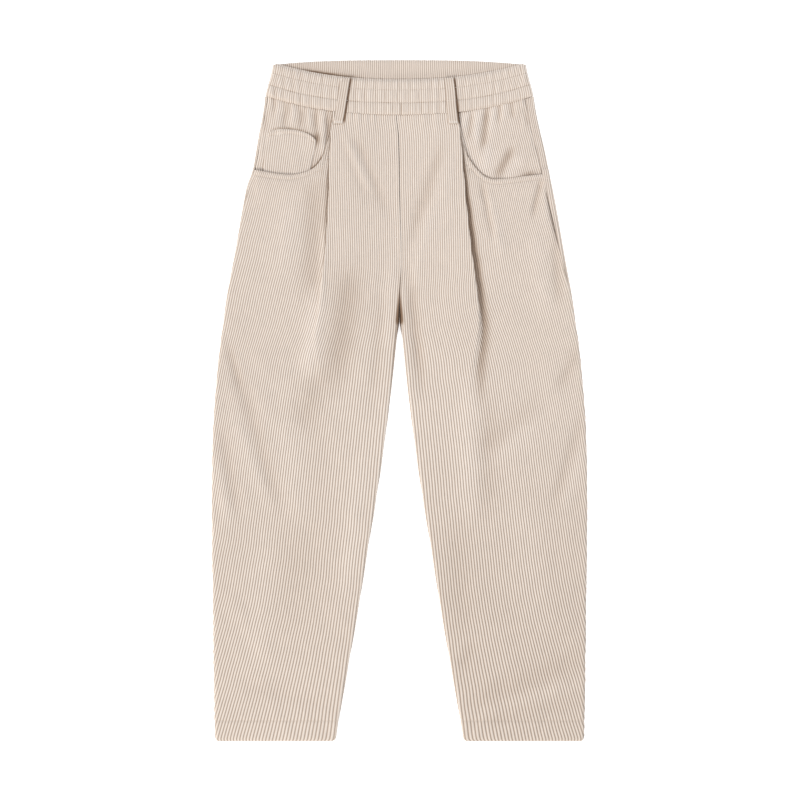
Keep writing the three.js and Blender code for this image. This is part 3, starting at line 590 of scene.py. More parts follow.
def leg_ribs(ribs, drop):
    """The ribs of a leg's panel, which are rounder and closer together at the top."""
    return rib_profile(ribs, mix(1.4, 0.8, smoothstep(260, 560, drop)))


# Meshes

def layer(x, drop, z):
    """A grid of points in millimetres."""
    return np.stack(np.broadcast_arrays(x, LENGTH / 2 - drop, z), axis=-1)


def surface_area(points):
    """The area of a grid of points in square metres."""
    across = points[:-1, 1:] - points[:-1, :-1]
    down = points[1:, :-1] - points[:-1, :-1]
    return float(np.linalg.norm(np.cross(across, down), axis=-1).sum()) * MM * MM


def smooth_object(name, mesh):
    mesh.polygons.foreach_set("use_smooth", np.ones(len(mesh.polygons), bool))
    piece = bpy.data.objects.new(name, mesh)
    bpy.context.scene.collection.objects.link(piece)
    return piece


def mesh_from(name, points, triangles, attributes):
    """A smooth-shaded mesh from points in millimetres, with equal points made one."""
    _, first, inverse = np.unique(
        np.round(points, 3), axis=0, return_index=True, return_inverse=True
    )
    triangles = inverse.reshape(-1)[triangles]
    a, b, c = triangles.T
    triangles = triangles[(a != b) & (b != c) & (c != a)]
    mesh = bpy.data.meshes.new(name)
    mesh.from_pydata((points[first] * MM).tolist(), [], triangles.tolist())
    for key, values in attributes.items():
        attribute = mesh.attributes.new(key, "FLOAT", "POINT")
        attribute.data.foreach_set("value", values[first].astype(np.float32))
    piece = smooth_object(name, mesh)
    mesh.set_sharp_from_angle(angle=SHARP_ANGLE)
    return piece


def two_triangles(a, b, c, d):
    return np.concatenate([np.stack([a, b, c], 1), np.stack([a, c, d], 1)])


def grid_triangles(index):
    corners = index[:-1, :-1], index[1:, :-1], index[1:, 1:], index[:-1, 1:]
    return two_triangles(*(corner.ravel() for corner in corners))


def cloth_wall(name, layers, rib, shade, inner_every, mirrored=False):
    """A cloth wall and its area: a fine face, a coarser inside that fans out, and a rim.

    The layers are the smooth cloth that is measured, its ribbed face and its inside.
    """
    smooth, face, inner = layers
    rows, columns = face.shape[:2]
    outer_index = np.arange(rows * columns).reshape(rows, columns)
    inner_index = outer_index + rows * columns
    coarse = np.unique(np.append(np.arange(0, columns, inner_every), columns - 1))
    parts = [grid_triangles(outer_index)]
    middle = inner_index[1:-1][:, coarse]
    parts.append(grid_triangles(middle)[:, ::-1])
    for end, next_row, flip in ((0, 1, 1), (rows - 1, rows - 2, -1)):
        for left, right in zip(coarse[:-1], coarse[1:]):
            near = inner_index[next_row, left]
            far = inner_index[next_row, right]
            fine = inner_index[end, left:right + 1]
            fan = np.stack([np.full(right - left, near), fine[:-1], fine[1:]], 1)
            fan = np.append(fan, [[near, fine[-1], far]], axis=0)
            parts.append(fan[:, ::flip])
    ring = np.concatenate([
        outer_index[0], outer_index[1:, -1], outer_index[-1, -2::-1], outer_index[-2::-1, 0],
    ])
    under = ring + rows * columns
    parts.append(two_triangles(ring[:-1], ring[1:], under[1:], under[:-1]))
    triangles = np.concatenate(parts)
    if mirrored:
        triangles = triangles[:, ::-1]
    points = np.concatenate([face.reshape(-1, 3), inner.reshape(-1, 3)])
    # The rib tone darkens the valleys with painted shade, and the shade paints shade, shadows and
    # highlights; the inside takes the dark tone INSIDE_RIB and is darkened further with painted
    # shade.
    shade = np.broadcast_to(shade, (rows, columns)).ravel()
    attributes = {
        "rib": np.concatenate([rib.ravel(), np.full(rows * columns, INSIDE_RIB)]),
        "shade": np.concatenate([shade, np.minimum(shade, 0) - INSIDE_DARK]),
    }
    return mesh_from(name, points, triangles, attributes), surface_area(smooth)


def begin_drops(place_of, limit_of, drops):
    """The drop at which each column of a cloth begins: where it first passes its limit."""
    margins = np.array([drop - limit_of(place_of(drop)) for drop in drops])
    first = np.maximum(1, np.argmax(margins >= 0, axis=0))
    columns = np.arange(margins.shape[1])
    after, before = margins[first, columns], margins[first - 1, columns]
    return drops[first] - after / (after - before) * (drops[1] - drops[0])


def cloth_grid(place_of, ribs, starts, stretch, offsets, drops):
    """A panel's columns, first at offsets below its top edge and then at drops down the leg."""
    rows = []
    for offset in offsets:
        near = starts + offset * stretch
        places = [place_of(drop, ribs[j:j + 1]) for j, drop in enumerate(near)]
        row = {key: np.array([place[key][0] for place in places]) for key in places[0]}
        rows.append({**row, "drop": near})
    last = rows[-1]
    for drop in drops:
        place = {**place_of(drop, ribs), "drop": drop}
        kept = last["drop"] >= drop
        rows.append({key: np.where(kept, last[key], place[key]) for key in last})
    return {key: np.array([row[key] for row in rows]) for key in last}


# The fronts

def front_section(leg, drop):
    """One front across a leg at a drop, from the inner edge through the pleat to the seam."""
    corner = hem_corner(drop)
    half_gap = mix(GAP / 2, CLOSED_GAP, between(205, 235, 322, 336, drop))
    start = inner_edge(drop) + leg["side"] * centre_seam(drop) + half_gap + corner
    opened = smoothstep(FRONT_PARTS_DROP, CROTCH_DROP + 20, drop)
    inner_turn = math.radians(mix(SEAM_DIP_TURN, 90, opened))
    inner_round = mix(SEAM_DIP_ROUND, FRONT_FACE - rim_height(drop), opened)
    pleat_at = max(PLEAT_EVEN_TO, drop - leg["pleat_shift"]) if drop > PLEAT_EVEN_TO else drop
    turn = math.radians(pleat_turn(pleat_at))
    edge_round = pleat_edge_round(pleat_at)
    depth = pleat_depth(pleat_at)
    hidden_round = pleat_inner_round(pleat_at)
    below_pocket = max(drop, POCKET_END)
    outer_round = FRONT_FACE - rim_height(below_pocket)
    to_pleat = leg["fold_edge"](drop) - edge_round - start - inner_round * math.sin(inner_turn)
    chain = [
        (inner_round * inner_turn, -inner_turn),
        (to_pleat, 0),
        (edge_round * turn, -turn),
        (depth, 0),
        (hidden_round * turn, turn),
    ]
    rim = FRONT_FACE - inner_round * (1 - math.cos(inner_turn))
    begin = (start, rim, inner_turn)
    folded = walk(begin, chain)[:, -1]
    edge = outer_edge(below_pocket) - side_notch(leg, below_pocket) - corner
    chain += [
        (edge - outer_round - folded[1], 0),
        (outer_round * math.pi / 2, -math.pi / 2),
    ]
    path = walk(begin, chain)
    return dict(
        drop=drop,
        path=path,
        pleat_from=chain[0][0] + chain[1][0],
        pleat_to=folded[0],
        lift=FRONT_FACE - folded[2],
        depth=depth,
        edge_round=edge_round,
        hidden=2 * depth + edge_round * (turn / 2 + 1) + hidden_round * turn,
        length=path[0, -1] - leg["wrap_length"](drop) - GAP / 2,
    )


def spread_ribs(drop, share):
    """The number of the rib at a share of the way across a leg."""
    first, last = ribs_inside(drop), ribs_outside(drop)
    return first + (last - first) * (share + rib_crowding(drop) / 2 * share * (share - 1))


def rib_at(section, distance):
    """The number of the rib at each distance along a front's section."""
    drop, length = section["drop"], section["length"]
    first, last = ribs_inside(drop), ribs_outside(drop)
    emerge = section["pleat_from"] + section["hidden"]
    at_emerge = first + emerge / CENTRE_RIB_PITCH
    outside = at_emerge + (last - at_emerge) * (distance - emerge) / (length - emerge)
    above = np.where(distance < emerge, first + distance / CENTRE_RIB_PITCH, outside)
    return mix(above, spread_ribs(drop, distance / length), smoothstep(300, 420, drop))


def front_places(leg, drop, ribs):
    """Where ribs of the front lie at one drop: x, z, direction, rib height and distances."""
    section = front_section(leg, drop)
    path = section["path"]
    clamped = np.clip(ribs, ribs_inside(drop), ribs_outside(drop))
    distance = np.interp(clamped, rib_at(section, path[0]), path[0])
    distance = np.minimum(distance, section["length"])
    x, z, direction = (np.interp(distance, path[0], path[k]) for k in (1, 2, 3))
    ramp = smoothstep(10, section["pleat_from"] - section["depth"] - 6, distance)
    before = distance < section["pleat_from"]
    z = z + section["lift"] * np.where(before, ramp, 1)
    folds = fold_height(leg, x, drop)
    beside = distance > section["pleat_to"]
    outside = x - leg["fold_edge"](drop)
    groove = groove_share(leg, outside, drop) * beside
    z = z + folds + coin_lift(leg, x, drop) - leg["groove_depth"](drop) * groove
    over = distance > section["pleat_from"] + section["edge_round"] * 1.2
    folded = over & (distance < section["pleat_to"] + 0.5)
    underlap = (distance >= section["pleat_to"]) & (outside < 1.5)
    shown = 1 - (folded | underlap) * smoothstep(0.5, 4, section["depth"])
    # dark is the painted shadow in the open groove beside the pleat.
    return dict(
        x=x, z=z, direction=direction, rib=leg_ribs(clamped, drop) * shown * (clamped == ribs),
        beside=beside, from_centre=distance, to_side=section["length"] - distance,
        folds=folds, dark=leg["groove_dark"](drop) * groove,
    )


def gathers(across, below, seed, tall=0.55, fades=16):
    """Small puckers that run down from a gathered seam and fade out."""
    return tall * wander(across, 11, seed) * np.exp(-((below / fades) ** 1.3))


def fly_edge(side, from_centre, drop):
    """The mock fly: the right front's edge lies a little over the left one."""
    ends = between(96, 112, 262, 282, drop)
    filled = 0.9 * between(222, 250, 318, 340, drop) * bell(from_centre, 2.5)
    if side < 0:
        return filled + 0.9 * ends * bell(from_centre, 5)
    return filled - 0.5 * ends * fade(195, 228, drop) * bell(from_centre, 2.5)


def build_front(name, leg):
    """One front: its place and relief, then its layers, then its painted shade, shadows and
    highlights.
    """
    side = leg["side"]
    ribs = ribbed(0, PANEL_RIBS)
    ribs = ribs[ribs <= ribs_outside(PANEL_TOP)]

    def place_of(drop, some=ribs):
        return front_places(leg, drop, some)

    def begins(place):
        scooped = place["beside"] & (place["x"] > leg["scoop"]["across"][0])
        waist = curved_drop(WAIST_SEAM, place["x"]) + WAIST_GAP
        return np.where(scooped, np.maximum(waist, leg["scoop_drop"](place["x"])), waist)

    starts = begin_drops(place_of, begins, np.arange(PANEL_TOP, 201, 1.0))
    slope = np.gradient(starts) / np.maximum(0.1, np.abs(np.gradient(ribs)) * CENTRE_RIB_PITCH)
    scooped = starts > WAIST_SEAM["middle"] + 10
    stretch = np.where(scooped, np.sqrt(1 + np.minimum(slope, 4) ** 2), 1)
    grid = cloth_grid(place_of, ribs, starts, stretch, FRONT_OFFSETS, FRONT_DROPS)
    x, drop, from_centre = grid["x"], grid["drop"], grid["from_centre"]

    below = (drop - starts[None, :]) / stretch[None, :]
    stitched = scooped * bell(below - STITCH_FROM_SCOOP, 0.9)
    hem_line = bell(drop - HEM_DROP, 1.1)
    relief = scooped * 0.35 * bell(below - 3.2, 2.2)
    relief = relief + stitched * 0.25 * wander(x, 9, SEED["pocket_edge"] + side)
    relief = relief + (1 - scooped) * gathers(x, below, SEED["waist"] + side)
    hem_waves = wander(x + 0.3 * drop, 22, SEED["hem"] + side) * smoothstep(900, 940, drop)
    lumps = wander(x + 0.35 * drop, 46, SEED["lumps"] + side)
    lumps = lumps * wander(drop, 90, SEED["lumps"] + 1 + side)
    relief = relief + 0.22 * hem_waves + 0.3 * lumps + fly_edge(side, from_centre, drop)
    relief = relief - bell(below, 1.6) * np.where(scooped, 0.4, 0.3) - 0.4 * stitched
    relief = relief - 0.35 * hem_line - 1.3 * smoothstep(LENGTH - 3, LENGTH, drop) ** 2
    relief = relief - SIDE_SEAM_DIP[side] * bell(grid["to_side"], 1.3) * (drop < 400)
    raised = RIB_HEIGHT * grid["rib"] * (1 - 0.4 * stitched) * (1 - 0.3 * hem_line)
    thickness = np.where(drop > HEM_DROP - 1, 2 * CLOTH, CLOTH)
    nx, nz = -np.sin(grid["direction"]), np.cos(grid["direction"])
    sway = 0.25 * wander(drop + 0.4 * x, 55, SEED["front"] + side)
    x = x + sway * smoothstep(0, 12, from_centre)
    z = grid["z"] + relief * nz
    layers = (
        layer(side * x, drop, z),
        layer(side * (x + nx * raised), drop, z + nz * raised),
        layer(side * (x - nx * thickness), drop, z - nz * thickness),
    )

    # The centre seam is darkened with painted shadow, and the crotch with a widening wedge of painted
    # shadow.
    seam_shown = mix(0.08, 1, between(80, 108, 185, 215, drop))
    seam = CENTRE_SEAM_DARK * bell(from_centre, 1.0) * seam_shown
    wedge = mix(1.2, 3.4, smoothstep(320, 366, drop))
    seam = seam + CROTCH_DARK * bell(from_centre, wedge) * smoothstep(*CROTCH_SHADE, drop)
    # Painted shade along the hem's and the scoop's stitch rows and under the panel's top edge,
    # painted shadow in the groove beside the pleat, and painted shade in the troughs and painted
    # highlight on the ridges of the folds.
    shade = -0.2 * hem_line - 0.25 * stitched - 0.2 * bell(below, 1) - grid["dark"]
    shade = shade - seam * (drop < 372) + FOLD_SHADE * grid["folds"]
    # Painted shadow beside the right leg's inseam below the crotch.
    shade = shade - INSEAM_DARK[side] * between(352, 376, 400, 480, drop) * bell(from_centre, 3.5)
    # Painted shade over the lower leg, deeper in the rib valleys, and the painted shadows of the
    # loops.
    low_down = smoothstep(400, 800, drop)
    shade = shade - (FRONT_SHADE[side] + VALLEY_DARK[side] * (1 - grid["rib"])) * low_down
    shade = shade - loop_shadow(side * x, drop)
    # The rib valleys are darkened with painted shade, more towards the hem, and held back near the
    # side seam.
    contrast = mix(0.82, 1.0, smoothstep(240, 560, drop))
    painted_rib_shade = 1 - contrast * (1 - grid["rib"])
    painted_rib_shade = np.maximum(painted_rib_shade, SEAM_TONE * bell(grid["to_side"], 1.6))
    return cloth_wall(name, layers, painted_rib_shade, shade, INNER_EVERY, side < 0)


# The backs

def back_section(leg, drop):
    """One back across a leg: down from the inseam, flat below, up and over to the seam."""
    corner = hem_corner(drop)
    opened = smoothstep(CROTCH_DROP - 6, CROTCH_DROP + 40, drop)
    half_gap = mix(CLOSED_GAP, GAP / 2, opened)
    start = half_gap + max(0, inner_edge(drop) - 2.4 * (1 - opened)) + corner
    inner_round = rim_height(drop) - GAP
    inner_turn = opened * math.pi / 2
    outer_round = rim_height(drop) - GAP / 2
    upper_round = side_top(drop) - rim_height(drop)
    wrap = leg["wrap_length"](drop)
    over = min(wrap, upper_round * math.pi / 2)
    begin = (start, inner_round * (1 - math.cos(inner_turn)), -inner_turn)
    first = (inner_round * inner_turn, inner_turn)
    flat_from = walk(begin, [first])[1, -1]
    return walk(begin, [
        first,
        (outer_edge(drop) - side_notch(leg, drop) - corner - outer_round - flat_from, 0),
        (outer_round * math.pi / 2, math.pi / 2),
        (over - GAP / 2, max(0, over - GAP / 2) / upper_round),
        (wrap - over, 0),
    ])


def back_places(leg, drop, ribs):
    """Where ribs of the back lie at one drop."""
    path = back_section(leg, drop)
    clamped = np.clip(ribs, ribs_inside(drop), ribs_outside(drop))
    distance = np.interp(clamped, spread_ribs(drop, path[0] / path[0, -1]), path[0])
    x, z, direction = (np.interp(distance, path[0], path[k]) for k in (1, 2, 3))
    rib = leg_ribs(clamped, drop) * (clamped == ribs)
    return dict(x=x, z=z, direction=direction, rib=rib, to_side=path[0, -1] - distance)


def build_back(name, leg, seat):
    side = leg["side"]
    ribs = ribbed(0, PANEL_RIBS, BACK_PHASES)
    ribs = ribs[ribs <= ribs_outside(PANEL_TOP)]

    def place_of(drop, some=ribs):
        return back_places(leg, drop, some)

    def begins(place):
        return curved_drop(WAIST_SEAM, place["x"]) + BACK_WAIST_GAP

    starts = begin_drops(place_of, begins, np.arange(PANEL_TOP - 1, 90, 1.0))
    grid = cloth_grid(place_of, ribs, starts, 1, BACK_OFFSETS, BACK_DROPS)
    x, drop, z, rib = grid["x"], grid["drop"], grid["z"], grid["rib"]
    nx, nz = -np.sin(grid["direction"]), np.cos(grid["direction"])
    proud = smoothstep(math.radians(30), math.radians(90), np.abs(grid["direction"]))
    seam = SIDE_SEAM_DIP[side] * bell(grid["to_side"], 1.2) * (drop < 400)
    hem_line = bell(drop - HEM_DROP, 1.1)
    out = mix(BACK_RIB_INTO * (rib - 1), RIB_HEIGHT * rib, proud) - seam - 0.3 * hem_line
    out = out - crease_height(seat, x, drop) * (1 - proud) * smoothstep(90, 160, drop)
    thickness = np.where(drop > HEM_DROP - 2, 2 * BACK_CLOTH, BACK_CLOTH)
    layers = (
        layer(side * x, drop, z),
        layer(side * (x - nx * out), drop, z - nz * out),
        layer(side * (x + nx * thickness), drop, z + nz * thickness),
    )
    # Painted shade at the side seam and the hem line, and painted shadow in the crotch.
    shade = -seam - 0.3 * hem_line - CROTCH_DARK * bell(x, 5) * smoothstep(*CROTCH_SHADE, drop)
    # The rib valleys are darkened with painted shade, held back near the side seam.
    painted_rib_shade = np.maximum(1 - 0.9 * (1 - rib), SEAM_TONE * bell(grid["to_side"], 1.6))
    return cloth_wall(name, layers, painted_rib_shade, shade, 2 * len(BACK_PHASES), side > 0)


# The pocket facings and the coin pocket

def facing_at(leg, drop, from_side):
    """A pocket facing's place at a drop and at a distance in from the side seam."""
    outer_round = FACING_FACE - np.minimum(rim_height(drop), FACING_FACE - 0.5)
    edge = leg["scoop"]["drop"][-1]
    tucked = 4.5 * smoothstep(edge + FACING_TUCK[leg["side"]], edge + 12, drop)
    outer = outer_edge(drop) - side_notch(leg, drop) - tucked
    start = leg["scoop"]["across"][0] - 8
    straight = outer - outer_round - start
    upper_round = side_top(drop) - rim_height(drop) if leg["side"] > 0 else outer_round
    length = outer - start + upper_round * (math.pi / 2 - 1) - leg["wrap_length"](drop) - GAP / 2
    distance = np.maximum(0, length - from_side)
    turn = np.maximum(0, distance - straight) / outer_round
    x = start + np.minimum(distance, straight) + outer_round * np.sin(turn)
    return x, FACING_FACE - outer_round * (1 - np.cos(turn)), -turn, length


def coin_shadows(x, drop):
    """The painted shadow on the right facing just above the coin pocket's mouth and at two of its
    corners.
    """
    dark = 0
    for across, low, strength in COIN_CORNERS:
        dark = dark + strength * bell(x - across, 5) * bell(drop - low, 8)
    near, far = coin_near(COIN_TOP), coin_far(COIN_TOP)
    beside = between(near, near + 6, far - 16, far - 2, x)
    return dark + COIN_MOUTH_DARK * bell(coin_mouth(x) - drop - 0.8, 1.7) * beside


def build_facing(name, leg):
    side = leg["side"]
    count = math.ceil((facing_at(leg, FACING_WIDEST, 0)[3] + 22) / FACING_RIB_PITCH)
    ribs = ribbed(0, count)[::-1]
    inward = ribs * FACING_RIB_PITCH
    top = np.full(len(ribs), 60.0)
    for _ in range(12):
        top = curved_drop(WAIST_SEAM, facing_at(leg, top, inward)[0]) + GAP
    across = facing_at(leg, FACING_WIDEST, inward)[0]
    across = np.maximum(across, leg["scoop"]["across"][0] + 4)
    bottom = leg["scoop_drop"](across) + POCKET_UNDERLAP
    drop = mix(top[None, :], bottom[None, :], np.linspace(0, 1, 44)[:, None])
    inward = inward[None, :]
    x, z, direction, length = facing_at(leg, drop, inward)
    rib = np.where(inward < length, rib_profile(ribs)[None, :], 0)
    below = drop - top[None, :]
    to_scoop = leg["scoop_drop"](x) - drop

    folds = gathers(x, below, SEED["facing"] + side, tall=0.7, fades=26)
    folds = folds + crease_height(leg["puckers"], x, drop)
    lift = folds - 0.5 * bell(below, 1.6)
    lift = lift + 0.3 * wander(x + 0.4 * drop, 26, SEED["facing"] + 2 + side)
    swell = FACING_SWELL * smoothstep(10, 28, to_scoop) * smoothstep(5, 25, below)
    deepest = FACING_DEEPEST + swell
    lift = np.where(lift < 0, deepest * np.tanh(lift / deepest), lift) + swell
    lift = lift + FACING_RISE * bell(below, 15) + 0.5 * bell(inward, 2.2)
    nx, nz = -np.sin(direction), np.cos(direction)
    z = z + lift * smoothstep(0, 6, inward) * nz
    x = x + 0.3 * wander(drop + 0.5 * x, 40, SEED["facing"] + 4 + side) * nz
    raised = RIB_HEIGHT * rib
    lowest = np.where(nz > 0.9, BACK_CLOTH + GAP, 0)
    layers = (
        layer(side * x, drop, z),
        layer(side * (x + nx * raised), drop, z + nz * raised),
        layer(side * (x - nx * CLOTH), drop, np.maximum(z - nz * CLOTH, lowest)),
    )

    # Painted shadow along the scoop edge and at the left facing's corner by the scoop's end; painted
    # shade in the puckers' troughs, painted highlight on their ridges, and painted shade under the
    # waist seam.
    edge_dark = bell(to_scoop, 2.6) * (0.35 + 1.1 * fade(112, 140, x)) * fade(178, 200, x)
    corner_dark = (side > 0) * bell(x - 182, 9) * bell(to_scoop - 2, 4)
    shade = FACING_FOLD_SHADE[side] * folds - 0.2 * bell(below, 1) - 0.65 * corner_dark
    # Painted shade over each facing's inner part, which paints light on the left leg instead, and the
    # painted shadows of the loops and of the coin pocket.
    shade = shade - EDGE_DARK[side] * edge_dark - FACING_PAINTED_SHADE[side] * fade(130, 170, x)
    shade = shade - loop_shadow(side * x, drop)
    if side < 0:
        shade = shade - coin_shadows(x, drop)
    # The rib valleys are darkened with painted shade, held back near the side seam.
    painted_rib_shade = np.maximum(1 - VALLEY_TONE * (1 - rib), SEAM_TONE * bell(inward, 1.6))
    return cloth_wall(name, layers, painted_rib_shade, shade, INNER_EVERY, side < 0)


def build_coin_pocket(name):
    width = coin_far(130) - coin_near(130)
    count = round(width / COIN_RIB_PITCH)
    ribs = ribbed(0, count)
    fraction = (ribs / count)[None, :]
    guess = mix(coin_near(COIN_TOP), coin_far(COIN_TOP), fraction)
    mouth = coin_mouth(guess)
    bottom = LEGS["right"]["scoop_drop"](guess) + COIN_UNDERLAP
    drop = mix(mouth, bottom, np.array([*COIN_MOUTH_ROWS, *np.linspace(0.15, 1, 26)])[:, None])
    x = mix(coin_near(drop), coin_far(drop), fraction)
    below = drop - mouth
    rim = np.minimum(fraction, 1 - fraction) * width
    stitched = bell(below - COIN_STITCH_BELOW, 0.8)
    rib = rib_profile(ribs)[None, :] * np.ones_like(drop)
    z = FACING_FACE + RIB_HEIGHT + COIN_CLOTH
    z = z + 0.4 * bell(below - 2.6, 2.4) - 0.5 * stitched
    z = z + 2.0 * bell(x - 119, 10) * bell(below, 14) - 0.9 * bell(rim, 2.2) - 0.5 * bell(below, 0.9)
    z = z + 0.35 * wander(x + 0.3 * drop, 30, SEED["coin"])
    raised = RIB_HEIGHT * rib * (1 - 0.5 * stitched)
    layers = (layer(-x, drop, z), layer(-x, drop, z + raised), layer(-x, drop, z - COIN_CLOTH))
    # Painted shade along the stitch row and the rims, the pocket painted a little lighter overall,
    # and its rib valleys darkened with painted shade.
    shade = 0.05 - 0.25 * stitched - 0.2 * bell(rim, 0.9)
    return cloth_wall(name, layers, 1 - VALLEY_TONE * (1 - rib), shade, INNER_EVERY, True)


# The waistband and its loops

def band_ends(across, drop):
    """How full the band is: 1 inside, and rounded down to 0 over its last millimetres."""
    inset = np.clip((np.abs(across) - band_half_width(drop)) / BAND_END_ROUND + 1, 0, 1)
    return np.sqrt(1 - inset**2)


def band_places(top, share):
    """Ribs of one side of the band, and where they lie at shares of its height."""
    ribs = ribbed(-BAND_RIBS, BAND_RIBS)
    fraction = (ribs / BAND_RIBS)[None, :]
    guess = fraction * band_half_width(PANEL_TOP)
    drop = mix(curved_drop(top, guess), curved_drop(WAIST_SEAM, guess), share)
    rib = rib_profile(ribs)[None, :] * np.ones_like(drop)
    rounded_off = 3.2 * smoothstep(0.95, 1, np.abs(fraction)) ** 2 * fade(0, 0.35, share)
    return fraction, drop, rounded_off, rib


def channel_of(share):
    """Which elastic channel a share of the band's height lies in, and how far down it."""
    channel = np.clip(np.searchsorted(BAND_ROWS, share, "right") - 1, 0, 2)
    into = (share - BAND_ROWS[channel]) / (BAND_ROWS[channel + 1] - BAND_ROWS[channel])
    return channel, into


def band_gathers(across, share, seed):
    """Gathers of the band's cloth: each channel has its own, and rows of stitches pin them."""
    channel, into = channel_of(share)
    kinds = [wander(across, 8.5, seed + k) for k in range(3)]
    shared = wander(across, 10, seed + 9)
    own = np.select([channel == 0, channel == 1, channel == 2], kinds)
    free = np.sin(np.pi * np.clip(into, 0, 1)) ** 0.7
    return (0.7 * shared + 0.6 * own * free) * mix(0.6, 1, free)


def build_front_band(name):
    stitch_rows = BAND_ROWS[1:3]
    share = np.unique(np.concatenate([
        BAND_TOP_ROWS, stitch_rows, stitch_rows - 0.012, stitch_rows + 0.012,
        np.linspace(0.335, 0.64, 10), np.linspace(0.69, 0.96, 9), [0.98, 0.99, 1],
    ]))[:, None]
    fraction, drop, rounded_off, rib = band_places(BAND_TOP, share)
    drop = drop + rounded_off
    x = fraction * band_half_width(drop)
    puff = np.abs(np.sin(np.pi * channel_of(share)[1])) ** 0.6
    folds = band_gathers(x, share, SEED["band"])
    ends = band_ends(x, drop)
    over_pleat = BAND_BOTTOM + 1.9 * smoothstep(15, 78, np.abs(x))
    bottom = mix(over_pleat, BAND_BOTTOM - 1, smoothstep(84, 104, np.abs(x)))
    low = mix(BAND_LOW, bottom, smoothstep(0.93, 1, share))
    pulled = mix(0.4, 1, smoothstep(0.3, 0.66, share))
    seam = bell(x - 2.0, 1.2) * smoothstep(0.64, 0.7, share)
    surface = low + BAND_PUFF * mix(1, puff, pulled) + BAND_GATHER * folds
    surface = surface - 2.6 * fade(0, 0.14, share) ** 2 - 0.9 * seam
    under = BAND_UNDER + 1.0
    z = under + (surface - under) * ends
    # The stitch rows are darkened with painted shade, mostly in the rib valleys.
    row_line = 0.5 * bell(share - BAND_ROWS[1], 0.014) + bell(share - BAND_ROWS[2], 0.014)
    row_line = row_line * (1.3 - rib)
    sway = 0.35 * band_gathers(x + 40, share, SEED["band"] + 14) * ends
    raised = RIB_HEIGHT * 0.85 * rib * (1 - 0.5 * row_line) * ends
    layers = (layer(x, drop, z), layer(x + sway, drop, z + raised), layer(x, drop, BAND_UNDER))
    # Painted highlight on the gathers' ridges and painted shade in their troughs, painted shade at
    # the stitch rows and the band's centre seam, the loops' painted shadows, and rib valleys darkened
    # with painted shade that eases on the gathers.
    shade = 0.06 * folds - 0.8 * row_line - 0.5 * seam - loop_shadow(x, drop)
    painted_rib_shade = 1 - (VALLEY_TONE - 0.12 * folds) * (1 - rib)
    return cloth_wall(name, layers, painted_rib_shade, shade, INNER_EVERY)


def build_back_band(name):
    share = np.array([0, 0.01, 0.03, 0.06, *np.linspace(0.1, 1, 22)])[:, None]
    fraction, drop, rounded_off, rib = band_places(BACK_TOP, share)
    uneven = wander(fraction * 180, 9, SEED["back_band"] + 4)
    drop = drop + 0.12 * uneven * fade(0, 0.2, share) + rounded_off
    x = fraction * band_half_width(drop)
    ends = band_ends(x, drop)
    above = curved_drop(BAND_TOP, x) - drop
    lit = smoothstep(-110, -40, x)
    tops = BAND_LAP - 0.1 + 0.1 * wander(x, 8.5, SEED["back_band"]) * fade(0.5, 0.8, share)
    tops = tops - 0.9 * fade(0, 0.05, share) ** 2 + 0.9 * bell(above - 2, 3.5) * lit
    z = BACK_CLOTH + (tops - BACK_CLOTH) * ends
    raised = 0.75 * rib * ends * fade(0.5, 0.75, share)
    tucked = x - np.sign(x) * (1 - ends) * 1.2
    layers = (
        layer(x, drop, z), layer(x, drop, z + raised), layer(tucked, drop, 0.4 * (1 - rib) * ends),
    )
    # The band's inside is darkened with painted shade, more just above the front band's top edge, and
    # a painted shadow of that edge lies along its left part; its rib valleys are darkened with
    # painted shade.
    shade = -0.08 - 0.25 * bell(above, 9) * (1 - 0.5 * lit)
    shade = shade - 2.6 * bell(above, 2.6) * smoothstep(-146, -116, x) * (1 - lit)
    return cloth_wall(name, layers, 1 - VALLEY_TONE * (1 - rib), shade, inner_every=2)


def build_loop(name, loop, seed):
    ribs = ribbed(0, LOOP_RIBS)
    fraction = (ribs / LOOP_RIBS)[None, :]
    ends = 0.12 * (0.5 - 0.5 * np.cos(np.linspace(0, np.pi, 15)))
    share = np.unique(np.concatenate([ends, np.linspace(0.12, 0.88, 26), 1 - ends]))[:, None]
    (top_x, top_drop), (bottom_x, bottom_drop) = loop
    drop = mix(top_drop, bottom_drop, share)
    sway = 0.7 * wander(share * 64, 60, seed)
    x = mix(top_x, bottom_x, share) + (fraction - 0.5) * LOOP_WIDTH + sway
    base = mix(9.4, LOOP_OVER, smoothstep(0, 0.12, share)) - 1.6 * (1 - fraction)
    base = mix(base, 10.6, smoothstep(0.7, 0.96, share))
    rounded = np.sqrt(np.clip(1 - (2 * fraction - 1) ** 8, 0, 1))
    rounded = rounded * np.sqrt(np.clip(1 - (2 * share - 1) ** 60, 0, 1))
    rib = rib_profile(ribs)[None, :] * np.ones_like(drop)
    bar = bell(drop - (bottom_drop - TACK_ABOVE_END), 1.3)
    z = base + 0.5 + (LOOP_HIGH - 0.5) * rounded - 0.5 * bar
    raised = 0.6 * rib * rounded * (1 - 0.5 * bar)
    layers = (layer(x, drop, z), layer(x, drop, z + raised), layer(x, drop, base))
    # The loop is darkened a little with painted shade and is lighter across its bar tack; its rib
    # valleys are darkened with painted shade.
    return cloth_wall(name, layers, 1 - VALLEY_TONE * (1 - rib), 0.5 * bar - 0.15, inner_every=6)


# Making the pieces

cut_area = {}
pieces = {}


def add(name, build, *facts):
    pieces[name], cut_area[name] = build(name, *facts)


